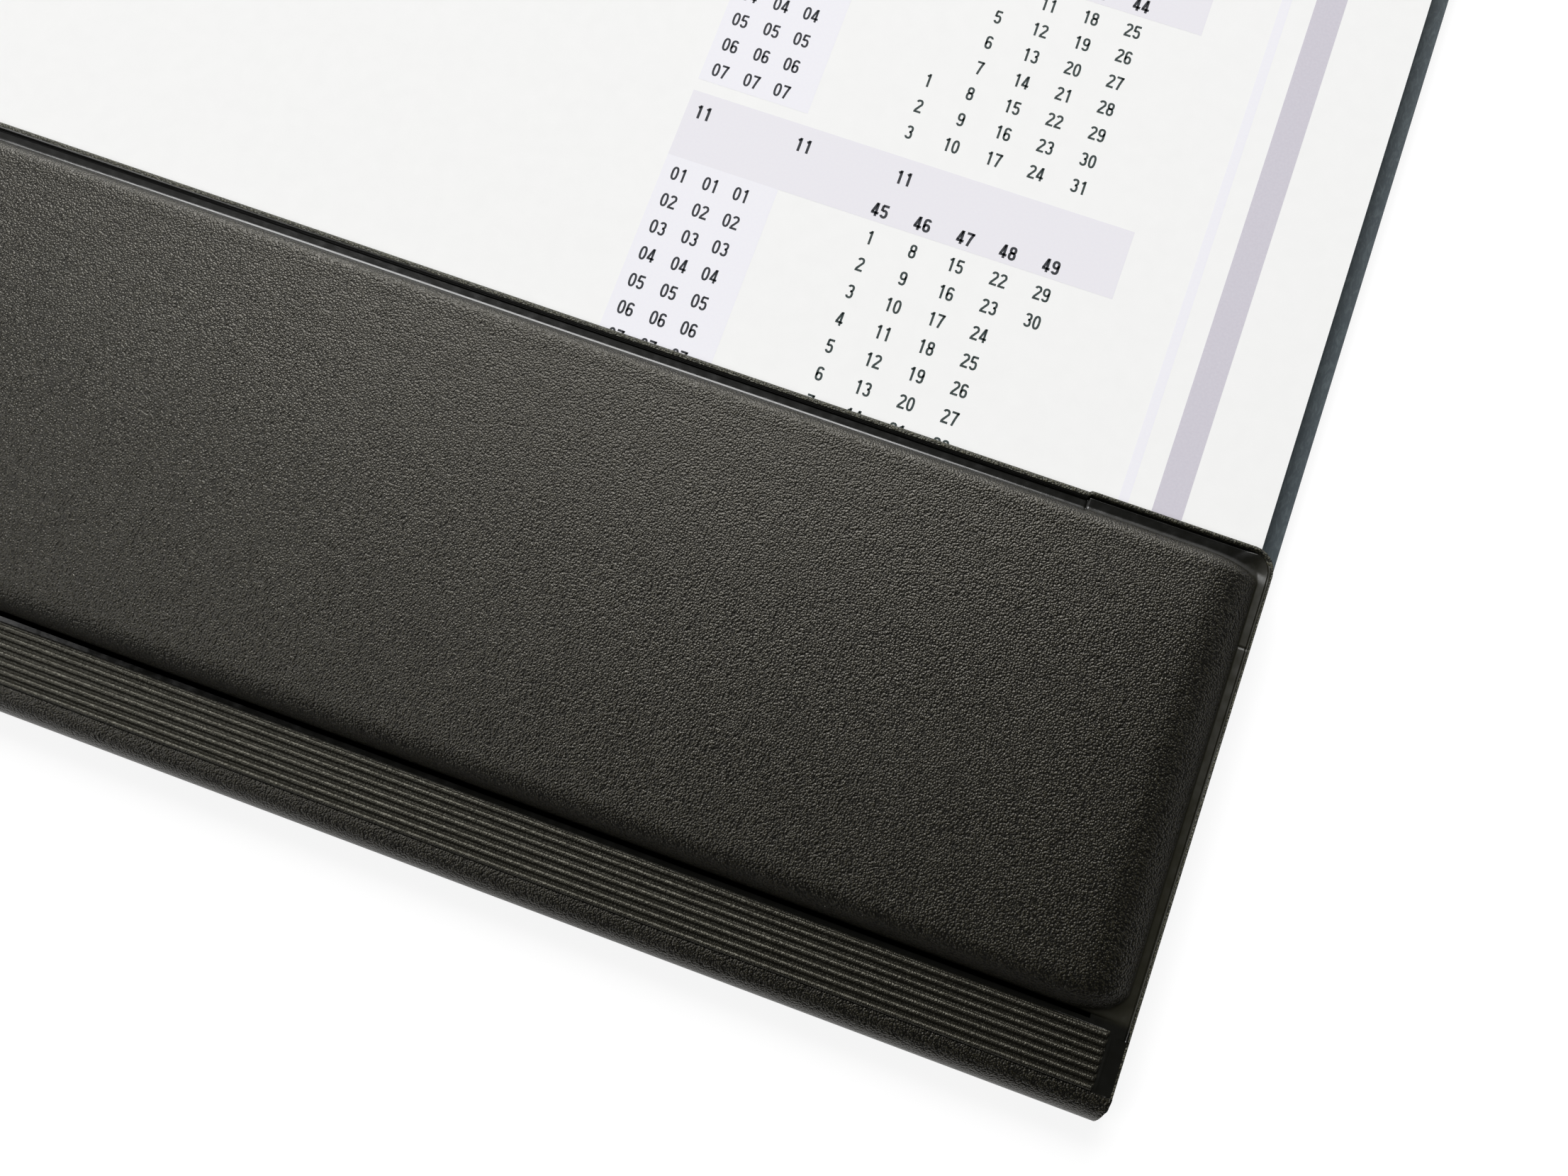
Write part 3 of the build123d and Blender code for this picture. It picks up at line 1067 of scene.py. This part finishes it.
    def dress_cover(
        self, cover: bpy.types.Object, x: np.ndarray, y: np.ndarray, inset: np.ndarray, radius: np.ndarray
    ) -> None:
        """Gives the cover its grained, welded and bead zones, and the welds their rub values (satin and
        painted reflection).

        Args:
            cover: The cover piece.
            x: Place of each grid point along the bar.
            y: Place of each grid point across the bar.
            inset: Distance of each grid point from the outer edge.
            radius: Radius share of each grid point, which is 1 at the cushion's foot.
        """
        self.palette.coat(cover)
        bar = self.bar
        middle_inset = (inset[:-1, :-1] + inset[1:, 1:]) / 2
        middle_radius = (radius[:-1, :-1] + radius[1:, 1:]) / 2
        zone = np.full(middle_inset.shape, Zone.PEBBLED.value)
        zone[middle_radius > self.foot_radius] = Zone.WELDED.value
        zone[middle_inset < bar.bead_side] = Zone.BEAD.value
        rear = np.arange(len(zone))[:, None] > len(zone) - self.bead_rows
        zone[rear & (middle_inset < bar.bead_corner) & (middle_radius > 1.0)] = Zone.BEAD.value
        paint(cover, zone, Zone.PEBBLED, Zone.PEBBLED)
        # Rub values: satin on the side welds and at the foot, painted paler there as a reflection of light
        ahead = bar.rear - y - bar.half + np.abs(x)
        lit_side = smooth_step(ahead, -bar.corner, bar.corner)
        drawn = self.drawn_rub * (1 - np.clip((radius - 1) * self.shoulder / self.fillet, 0, 1))
        rub = np.maximum(lit_side, drawn) * smooth_step(y, bar.band_rear, bar.band_rear + 2 * bar.foot_front)
        values = np.concatenate([rub.ravel(), np.zeros(rub.size)]).astype(np.float32)
        cover.data.attributes.new(RUB_AND_SHEEN_VALUES, "FLOAT", "POINT").data.foreach_set("value", values)

    def build_foam(self) -> bpy.types.Object:
        """Builds the foam core, a crowned block a little smaller than the space under the cover.

        Returns:
            The foam.
        """
        bar = self.bar
        inset = self.skin + self.foam_play
        low = bar.band_rear + bar.foot_front + inset
        high = bar.rear - bar.foot_rear - inset
        half = bar.half - bar.foot_side - inset
        ends, step = self.foam_spans, self.foam_step
        x, y = np.meshgrid(graded(-half, half, ends, step, ends), graded(low, high, ends, step, ends))
        share, _ = self.pillow(x, y, inset)
        edge = self.foam_edge
        height = bar.lining_top + edge + (self.rim - inset - edge + self.crown(x, y)) * share
        lower = grid_points(x, y, bar.lining_top + self.foam_lift)
        foam = new_piece("cushion_foam", *solid_between(grid_points(x, y, height), lower))
        foam.data.materials.append(FOAM.build())
        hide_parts("foam_core")
        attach(foam, "flap")
        return foam


@dataclass
class HingeBand:
    """The ribbed band that the bar bends along, welded flat with a tear bead at each end."""

    bar: BarShape
    palette: Palette
    # The ribs, counted from the front, and how far they end from the sides
    rib_count: int = 7
    first_rib: float = 4.0
    pitch: float = 1.117
    rib_width: float = 0.78
    rib_height: float = 0.42
    first_height: float = 0.52
    rib_end: float = 2.7
    rib_run: float = 0.35
    rib_squareness: float = 2.4
    rib_margin: float = 0.2
    rib_foot: float = 0.3
    # The fine line across their ends
    end_line: float = 2.35
    end_line_width: float = 0.18
    end_line_height: float = 0.07
    line_start: tuple[float, float] = (3.6, 4.2)
    line_stop: tuple[float, float] = (10.0, 10.8)
    # The grid, and where the bend starts before the hinge and ends before the cushion
    end_spans: tuple = ((3.4, 0.1),)
    column_step: float = 6.0
    row_step: float = 0.0745
    bend_start: float = 1.2
    bend_end: float = 0.15

    def relief(self, x: np.ndarray, y: np.ndarray) -> np.ndarray:
        """Height of the ribs and of the fine line at their ends, over the flat skin.

        Args:
            x: Places along the bar.
            y: Places across the bar.

        Returns:
            The height at each place.
        """
        bar = self.bar
        in_side = bar.half - np.abs(x)
        ends = smooth_step(in_side, self.rib_end, self.rib_end + self.rib_run)
        height = np.zeros_like(x)
        for number in range(self.rib_count):
            centre = bar.front + self.first_rib + number * self.pitch
            across = np.clip(np.abs(y - centre) / (self.rib_width / 2), 0, 1)
            tall = self.first_height if number == 0 else self.rib_height
            height = np.maximum(height, tall * np.sqrt(1 - across ** self.rib_squareness) * ends)
        line = np.exp(-(((in_side - self.end_line) / self.end_line_width) ** 2)) * self.end_line_height
        from_front = y - bar.front
        run = smooth_step(from_front, *self.line_start) * (1 - smooth_step(from_front, *self.line_stop))
        return np.maximum(height, line * run)

    def build(self) -> bpy.types.Object:
        """Builds the band as one piece.

        Returns:
            The band.
        """
        bar = self.bar
        columns = graded(-bar.half, bar.half, self.end_spans, self.column_step, self.end_spans)
        count = int(round((bar.band_rear - bar.band_front) / self.row_step))
        rows = np.linspace(bar.band_front, bar.band_rear, count + 1)
        x, y = np.meshgrid(columns, rows)
        edge, inset = bar.edge_profile(x, y, False)
        relief = self.relief(x, y)
        height = bar.band_level + np.where(relief > 0, relief, edge) - bar.crease(x, y)
        solid = solid_between(grid_points(x, y, height), grid_points(x, y, bar.lining_bottom))
        band = new_piece("hinge_band", *solid)
        self.palette.coat(band)
        middle = (relief[:-1, :-1] + relief[1:, 1:]) / 2
        low = bar.front + self.first_rib - self.pitch / 2
        high = low + self.rib_count * self.pitch
        first_x, first_y = x[:-1, :-1], y[:-1, :-1]
        among = (first_y > low + self.rib_margin) & (first_y < high)
        among &= bar.half - np.abs(first_x) > self.rib_end
        ribbed = among | (middle > self.rib_foot * self.rib_height)
        zone = np.where(ribbed, Zone.RIBBED.value, Zone.WELDED.value)
        zone = np.where(inset[:-1, :-1] < bar.bead_side, Zone.BEAD.value, zone)
        paint(band, zone, Zone.LINED, Zone.WELDED)
        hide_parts("hinge_band_front", "hinge_band_rear")
        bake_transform(band)
        return band


@dataclass
class FrontRoll:
    """The skin that rolls over the front edge and runs back under the board."""

    bar: BarShape
    palette: Palette
    # Path: the roll over the edge, the fold below it and the flap under the board
    radius: float = 3.4
    fold: float = 1.0
    skin: float = 0.5
    flap_start: float = 2.0
    flap_depth: float = 26.0
    roll_steps: int = 31
    fold_steps: int = 13
    # How far the ends are drawn in
    taper_depth: float = 3.6
    taper: float = 0.85
    taper_power: float = 1.8
    draw_run: float = 12.0
    # The bead's groove, which runs out over the roll
    groove_start: float = 0.56
    groove_shift: float = 1.5
    groove_bend: float = 2.4
    groove_width: float = 0.17
    groove_depth: float = 0.06
    groove_fade: float = 0.55
    end_spans: tuple = ((4.0, 0.1),)
    column_step: float = 6.0

    def path(self) -> tuple[np.ndarray, np.ndarray]:
        """Follows the roll's outer face from the hinge band round to the end of the under flap.

        Returns:
            Places (y, z) on the outer face, and the outward directions there.
        """
        bar = self.bar
        axis_y, axis_z = bar.front + self.radius, bar.lining_top + self.skin - self.radius
        bends = (
            (axis_y, axis_z, self.radius, np.linspace(90, 180, self.roll_steps)),
            (bar.front + self.fold, self.fold, self.fold, np.linspace(180, 270, self.fold_steps)),
        )
        places = [(bar.band_front, bar.lining_top + self.skin)]
        outward = [(0.0, 1.0)]
        for middle_y, middle_z, radius, angles in bends:
            for angle in np.radians(angles):
                way_y, way_z = math.cos(angle), math.sin(angle)
                places.append((middle_y + radius * way_y, middle_z + radius * way_z))
                outward.append((way_y, way_z))
        for depth in np.linspace(self.flap_start, self.flap_depth, self.fold_steps):
            places.append((bar.front + depth, 0.0))
            outward.append((0.0, -1.0))
        return np.array(places), np.array(outward)

    def build(self) -> bpy.types.Object:
        """Builds the roll as a thick skin with drawn-in ends.

        Returns:
            The roll.
        """
        bar = self.bar
        places, outward = self.path()
        columns = graded(-bar.half, bar.half, self.end_spans, self.column_step, self.end_spans)
        x, y, z = np.broadcast_arrays(columns[None, :], places[:, :1], places[:, 1:])
        from_front = np.clip((y - bar.front) / self.taper_depth, 0, 1)
        under = z < bar.lining_bottom / 2
        from_front = np.where(under, 0.0, from_front)
        draw = self.taper * (1 - from_front) ** self.taper_power
        in_side = bar.half - np.abs(x)
        x = x - np.sign(x) * draw * (1 - smooth_step(in_side, 0, self.draw_run))
        bend = np.clip((bar.band_front - y) / self.groove_bend, 0, 1)
        groove_at = self.groove_start + self.groove_shift * bend ** 2
        fade = (1 - smooth_step(bend, self.groove_fade, 1.0)) * ~under
        mark = np.exp(-(((in_side - groove_at) / self.groove_width) ** 2))
        off = -self.groove_depth * mark * fade
        way_y, way_z = outward[:, :1], outward[:, 1:]
        upper = grid_points(x, y + off * way_y, z + off * way_z)
        lower = grid_points(x, y - self.skin * way_y, z - self.skin * way_z)
        roll = new_piece("front_roll_skin", *solid_between(upper[::-1], lower[::-1]))
        self.palette.coat(roll)
        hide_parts("front_roll")
        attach(roll, "base")
        return roll


@dataclass(frozen=True)
class DigitFace:
    """A plain narrow cut of the ten digits, drawn as strokes of one width in a box 1 high."""

    width: float = 0.5
    stroke: float = 0.15
    gap: float = 0.09
    squareness: float = 2.5
    bends: int = 12

    @property
    def advance(self) -> float:
        """Step from one digit to the next."""
        return self.width + self.gap

    def arc(self, middle: tuple, radii: tuple, start: float, end: float) -> list:
        """Points along a bowl, a little squarer than an ellipse.

        Args:
            middle: The bowl's middle.
            radii: Its half width and half height.
            start: The first angle, in degrees.
            end: The last angle.

        Returns:
            The points in order.
        """
        count = max(3, round(self.bends * abs(end - start) / 180))
        angles = np.radians(np.linspace(start, end, count + 1))
        power = 2 / self.squareness
        cos, sin = np.cos(angles), np.sin(angles)
        x = middle[0] + radii[0] * np.sign(cos) * np.abs(cos) ** power
        y = middle[1] + radii[1] * np.sign(sin) * np.abs(sin) ** power
        return list(zip(x, y))

    def strokes(self, digit: str) -> list[list]:
        """Draws one digit.

        Args:
            digit: The digit's character.

        Returns:
            The middle line of each stroke.
        """
        w, c, h = self.width, self.width / 2, self.stroke / 2
        a, waist = c - h, 0.53
        over = (waist + 1 - h) / 2, (1 - h - waist) / 2
        under = (waist + h) / 2, (waist - h) / 2
        six = [
            self.arc((c, 0.31), (a, 0.31 - h), 0, 360),
            self.arc((c, 0.7), (a, 0.3 - h), 22, 180) + [(h, 0.31)],
        ]
        return {
            "0": [self.arc((c, 0.5), (a, 0.5 - h), 0, 360)],
            "1": [[(c - 0.14, 0.78), (c + 0.04, 0.92)], [(c + 0.04, 0.0), (c + 0.04, 1.0)]],
            "2": [self.arc((c, 0.72), (a, 0.28 - h), 165, -15) + [(h, 2 * h)], [(0.0, h), (w, h)]],
            "3": [
                self.arc((c, over[0]), (0.93 * a, over[1]), 162, -90),
                self.arc((c, under[0]), (a, under[1]), 90, -162),
            ],
            "4": [[(0.3, 0.96), (h, 0.29)], [(0.0, 0.25), (w, 0.25)], [(0.34, 0.0), (0.34, 1.0)]],
            "5": [
                [(0.07, 1 - h), (w - 0.03, 1 - h)], [(0.1, 1 - h), (0.075, 0.5)],
                self.arc((c, 0.325), (a, 0.325 - h), 140, -160),
            ],
            "6": six,
            "7": [[(0.0, 1 - h), (w, 1 - h)], [(w - h, 0.96), (0.3, 0.5), (0.2, 0.0)]],
            "8": [
                self.arc((c, over[0]), (0.92 * a, over[1]), 0, 360),
                self.arc((c, under[0]), (a, under[1]), 0, 360),
            ],
            "9": [[(w - x, 1 - y) for x, y in line] for line in six],
        }[digit]

    def glyph(self, digit: str) -> tuple[np.ndarray, np.ndarray]:
        """Makes one digit as thin prisms along its strokes.

        Args:
            digit: The digit's character.

        Returns:
            The vertices, in a box 1 high and 1 thick, and the faces.
        """
        vertices, faces, base = [], [], 0
        for line in self.strokes(digit):
            points = np.array(line)
            ahead = np.diff(points, axis=0)
            ahead /= np.linalg.norm(ahead, axis=1)[:, None]
            closed = np.allclose(points[0], points[-1])
            first, last = (ahead[-1], ahead[0]) if closed else (ahead[0], ahead[-1])
            along = np.concatenate([[first], ahead]) + np.concatenate([ahead, [last]])
            along /= np.linalg.norm(along, axis=1)[:, None]
            side = np.stack([-along[:, 1], along[:, 0]], axis=-1) * self.stroke / 2
            level = np.ones((len(points), 1))
            upper = np.stack([np.hstack([points + side, level]), np.hstack([points - side, level])])
            made, quads = solid_between(upper, upper * (1, 1, 0))
            vertices.append(made)
            faces.append(quads + base)
            base += len(made)
        return np.concatenate(vertices), np.concatenate(faces)


@dataclass
class CalendarPrint:
    """What is printed on a sheet: month panels with plain numbers, and stripes down the right side.

    Places along X are counted from the board's right edge, and along Y from the pad's front.
    """

    palette: Palette
    level: float
    body: str
    prefix: str
    right: float
    front: float
    rear: float
    # Pitch of the lines, assumed to be one 12 point leading, and the lines from month to month
    row: float = 4.233
    block_rows: int = 10
    # Month panel, and the rows and columns of numbers
    panel_left: float = -98.5
    panel_right: float = -32.5
    panel_front: float = 104.8
    panel_rear: float = 115.3
    day_front: float = 76.9
    week_row: float = 106.6
    title_row: float = 112.3
    first_column: float = -67.2
    column: float = 6.31
    weekday_right: float = -81.8
    # Stripe and hairline, and how far they stop before the front and the rear edge
    stripe_left: float = -18.5
    stripe_right: float = -14.3
    hairline_left: float = -23.2
    hairline_right: float = -21.8
    stripe_front: float = 3.4
    stripe_rear: float = 3.2
    # Height of the digits, and thickness of the printed layers
    digit: float = 2.08
    ink_height: float = 0.015
    tint_height: float = 0.006
    plain: DigitFace = DigitFace()
    bold: DigitFace = DigitFace(width=0.53, stroke=0.18)
    weekday_columns: tuple[float, ...] = (-95.9, -91.1, -86.5)
    title_columns: tuple[float, ...] = (-95.9, -80.7, -65.6)
    months: int = 7
    last_month: date = date(2004, 11, 1)

    def flat(self, name: str, boxes: list, finish: bpy.types.Material) -> bpy.types.Object:
        """Prints plain rectangles as one thin layer.

        Args:
            name: The layer's name.
            boxes: Left, front, right and rear of each rectangle.
            finish: The ink.

        Returns:
            The layer.
        """
        vertices, faces = [], []
        for left, low, right, high in boxes:
            base = len(vertices)
            for z in (self.level, self.level + self.tint_height):
                vertices += [(left, low, z), (right, low, z), (right, high, z), (left, high, z)]
            faces += [[base + n for n in quad] for quad in (
                (4, 5, 6, 7), (3, 2, 1, 0), (0, 1, 5, 4), (1, 2, 6, 5), (2, 3, 7, 6), (3, 0, 4, 7),
            )]
        return self.lay(name, np.array(vertices), np.array(faces), finish)

    def lay(
        self, name: str, vertices: np.ndarray, faces: np.ndarray, finish: bpy.types.Material
    ) -> bpy.types.Object:
        """Makes a printed layer and lays it on the sheet's body.

        Args:
            name: The layer's name.
            vertices: Its points, in millimetres.
            faces: Vertex numbers of each face.
            finish: The ink.

        Returns:
            The layer.
        """
        layer = new_piece(f"{self.prefix}_{name}", vertices, faces)
        layer.data.materials.append(finish)
        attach(layer, self.body)
        return layer

    def numbers(
        self, name: str, entries: list, face: DigitFace, finish: bpy.types.Material
    ) -> bpy.types.Object:
        """Prints plain numbers as one thin layer.

        Args:
            name: The layer's name.
            entries: The middle of each number, as (x, y), and its text.
            face: The cut of the digits.
            finish: The ink.

        Returns:
            The layer.
        """
        glyphs = {digit: face.glyph(digit) for digit in sorted(set("".join(text for _, text in entries)))}
        vertices, faces, base = [], [], 0
        for middle, text in entries:
            pen = -(len(text) * face.advance - face.gap) / 2
            for digit in text:
                points, polygons = glyphs[digit]
                moved = points * (self.digit, self.digit, self.ink_height)
                moved += (middle[0] + pen * self.digit, middle[1] - self.digit / 2, self.level)
                vertices.append(moved)
                faces.append(polygons + base)
                base += len(points)
                pen += face.advance
        return self.lay(name, np.concatenate(vertices), np.concatenate(faces), finish)

    def build(self) -> list[bpy.types.Object]:
        """Prints the month column and the stripes.

        Returns:
            The printed layers.
        """
        pitch = self.row * self.block_rows
        panels, weekdays, dates, weeks, labels = [], [], [], [], []
        month = self.last_month
        for number in range(self.months):
            rise = self.front + number * pitch
            panels.append((self.right + self.panel_left, rise + self.panel_front,
                           self.right + self.panel_right, rise + self.panel_rear))
            weekdays.append((self.right + self.panel_left, rise + self.day_front - 0.5 * self.row,
                             self.right + self.weekday_right, rise + self.panel_front))
            labels += [
                ((self.right + x, rise + self.day_front + (6 - row) * self.row), f"{row + 1:02d}")
                for row in range(7) for x in self.weekday_columns
            ]
            title = rise + self.title_row
            weeks += [((self.right + x, title), f"{month.month:02d}") for x in self.title_columns]
            day = month
            monday = month - timedelta(days=month.weekday())
            while day.month == month.month:
                week = (day - monday).days // 7
                x = self.right + self.first_column + week * self.column
                y = rise + self.day_front + (6 - day.weekday()) * self.row
                dates.append(((x, y), str(day.day)))
                if day == month or day.weekday() == 0:
                    weeks.append(((x, rise + self.week_row), str(day.isocalendar()[1])))
                day += timedelta(days=1)
            month = (month - timedelta(days=1)).replace(day=1)
        low, high = self.front + self.stripe_front, self.rear - self.stripe_rear
        lines = {
            "stripe": (self.stripe_left, self.stripe_right, self.palette.stripe),
            "hairline": (self.hairline_left, self.hairline_right, self.palette.tint),
        }
        layers = [
            self.flat("month_panels", panels, self.palette.panel),
            self.flat("weekday_tint", weekdays, self.palette.tint),
        ]
        for name, (left, right, finish) in lines.items():
            layers.append(self.flat(name, [(self.right + left, low, self.right + right, high)], finish))
        layers.append(self.numbers("dates", dates, self.plain, self.palette.date))
        layers.append(self.numbers("weekdays", labels, self.plain, self.palette.label))
        layers.append(self.numbers("weeks", weeks, self.bold, self.palette.label))
        return layers


@dataclass
class PadBlock:
    """The board, the sheets, the gum edge, the tape and the linings, which keep their CAD shapes."""

    lining: bpy.types.Material

    def dress(self) -> list[bpy.types.Object]:
        """Gives each carried-over node its finish.

        Returns:
            The dressed nodes.
        """
        paper = SHEET_PAPER.build()
        finishes = {
            "backing_board": DARK_BOARD.build(),
            "gum_edge": SHEET_GUM.build(),
            "adhesive_tape": TAPE_FILM.build(),
            "roll_lining": self.lining,
            "cushion_lining": self.lining,
        }
        dressed = []
        for name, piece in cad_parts.items():
            finish = finishes.get(name, paper if "sheet" in name else None)
            if finish is not None:
                piece.data.materials.clear()
                piece.data.materials.append(finish)
                dressed.append(piece)
        return dressed


@dataclass(frozen=True)
class Lamp:
    """One soft rectangular lamp: where it hangs and its size, in metres, and its power in watts."""

    name: str
    place: tuple[float, float, float]
    size: tuple[float, float]
    power: float

    def hang(self, aim: tuple[float, float, float]) -> None:
        """Hangs the lamp.

        Args:
            aim: Where it points.
        """
        data = bpy.data.lights.new(self.name, "AREA")
        data.shape, data.energy = "RECTANGLE", self.power
        data.size, data.size_y = self.size
        lamp = bpy.data.objects.new(self.name, data)
        bpy.context.scene.collection.objects.link(lamp)
        lamp.location = self.place
        lamp.rotation_mode = "QUATERNION"
        lamp.rotation_quaternion = (Vector(aim) - Vector(self.place)).to_track_quat("-Z", "Y")


@dataclass
class Studio:
    """A plain white table with soft daylight from the left and the rear."""

    # Side of the floor in metres, and how many millimetres it is under the pad
    floor_size: float = 12.0
    floor_drop: float = 0.05
    floor_colour: str = "#e6e6e6"
    # Strength of the floor's glow, and its share for the camera and for reflections
    floor_glow: float = 1.15
    floor_seen: float = 0.75
    # Direction of the bright wall, and the world's strength on the dark and the bright side
    bright_side: tuple[float, float, float] = (-0.35, 0.9, 0.25)
    dark_wall: float = 0.02
    bright_wall: float = 1.0
    wall_edge: tuple[float, float] = (0.45, 0.97)
    # Where the lamps point, in metres
    aim: tuple[float, float, float] = (0.15, -0.1, 0.0)
    lamps: tuple[Lamp, ...] = (
        Lamp("window_rear", (-1.31, 3.9, 3.33), (3.4, 3.3), 336.0),
        Lamp("window_left", (-3.31, -1.72, 3.82), (3.06, 2.9), 92.0),
    )

    def floor(self) -> None:
        """Lays a white floor that shows as the white background and keeps the pad's shadow."""
        half = self.floor_size / 2
        mesh = bpy.data.meshes.new("floor")
        low = -self.floor_drop * MM
        corners = [(-half, -half, low), (half, -half, low), (half, half, low), (-half, half, low)]
        mesh.from_pydata(corners, [], [(0, 1, 2, 3)])
        floor = bpy.data.objects.new("floor", mesh)
        bpy.context.scene.collection.objects.link(floor)
        material = bpy.data.materials.new("white_table")
        material.use_nodes = True
        material.node_tree.nodes.clear()
        node = partial(add_node, material.node_tree)
        diffuse = node("BsdfDiffuse", {"Color": self.floor_colour})
        glow = node("Emission", {"Color": WHITE, "Strength": self.floor_glow})
        ray = node("LightPath").node.outputs
        seen = node("Math", {0: ray["Is Camera Ray"], 1: ray["Is Glossy Ray"]}, operation="MAXIMUM")
        through = node("Math", {0: seen, 1: ray["Is Transmission Ray"]}, operation="MAXIMUM")
        share = node("Math", {0: through, 1: self.floor_seen}, operation="MULTIPLY")
        node("OutputMaterial", {"Surface": node("MixShader", {0: share, 1: diffuse, 2: glow})})
        mesh.materials.append(material)

    def daylight(self) -> None:
        """Lights the room with a world that is white to the camera.

        Glossy rays keep the room's dark walls: nothing on the pad is metal or glass, and a white
        room would lie as a veil on the dark soft PVC.
        """
        world = bpy.data.worlds.new("pale_room")
        bpy.context.scene.world = world
        world.use_nodes = True
        world.node_tree.nodes.clear()
        node = partial(add_node, world.node_tree)
        ray = node("LightPath").node.outputs
        seen = node("Math", {0: ray["Is Camera Ray"], 1: ray["Is Transmission Ray"]}, operation="MAXIMUM")
        way = node("TexCoord", output="Generated")
        bright = Vector(self.bright_side).normalized()
        turned = node("VectorMath", {0: way, 1: bright}, "Value", operation="DOT_PRODUCT")
        walls = {
            "Value": turned, "From Min": self.wall_edge[0], "From Max": self.wall_edge[1],
            "To Min": self.dark_wall, "To Max": self.bright_wall,
        }
        strength = node("MapRange", walls, interpolation_type="SMOOTHSTEP")
        room = node("Background", {"Color": WHITE, "Strength": strength})
        white = node("Background", {"Color": WHITE, "Strength": 1.0})
        node("OutputWorld", {"Surface": node("MixShader", {0: seen, 1: room, 2: white})})

    def build(self) -> None:
        """Sets the floor, the world and the lamps."""
        bpy.context.scene.view_settings.view_transform = "Standard"
        self.floor()
        self.daylight()
        for lamp in self.lamps:
            lamp.hang(self.aim)


def main() -> None:
    """Builds the camera, the pad's pieces and the studio."""
    logging.basicConfig(level=logging.INFO, format="%(name)s: %(message)s")
    PhotographCamera().build()
    palette = Palette()
    bar = BarShape.from_frame()
    cushion = Cushion(bar, palette)
    cushion.simulate()
    pieces = [cushion.build_cover(), cushion.build_foam()]
    pieces += [HingeBand(bar, palette).build(), FrontRoll(bar, palette).build()]
    pieces += PadBlock(palette.lining).dress()
    _, board_high = node_box("backing_board")
    sheets = (("top_sheet", "loose_sheet", "print"), ("sheet_02", "base", "next_print"))
    for node_name, body, prefix in sheets:
        _, top = node_box(node_name)
        calendar = CalendarPrint(palette, top[2], body, prefix, board_high[0], bar.front, board_high[1])
        pieces += calendar.build()
    for piece in pieces:
        LOG.info("%s: %d faces", piece.name, len(piece.data.polygons))
    Studio().build()


if __name__ == "__main__":
    main()
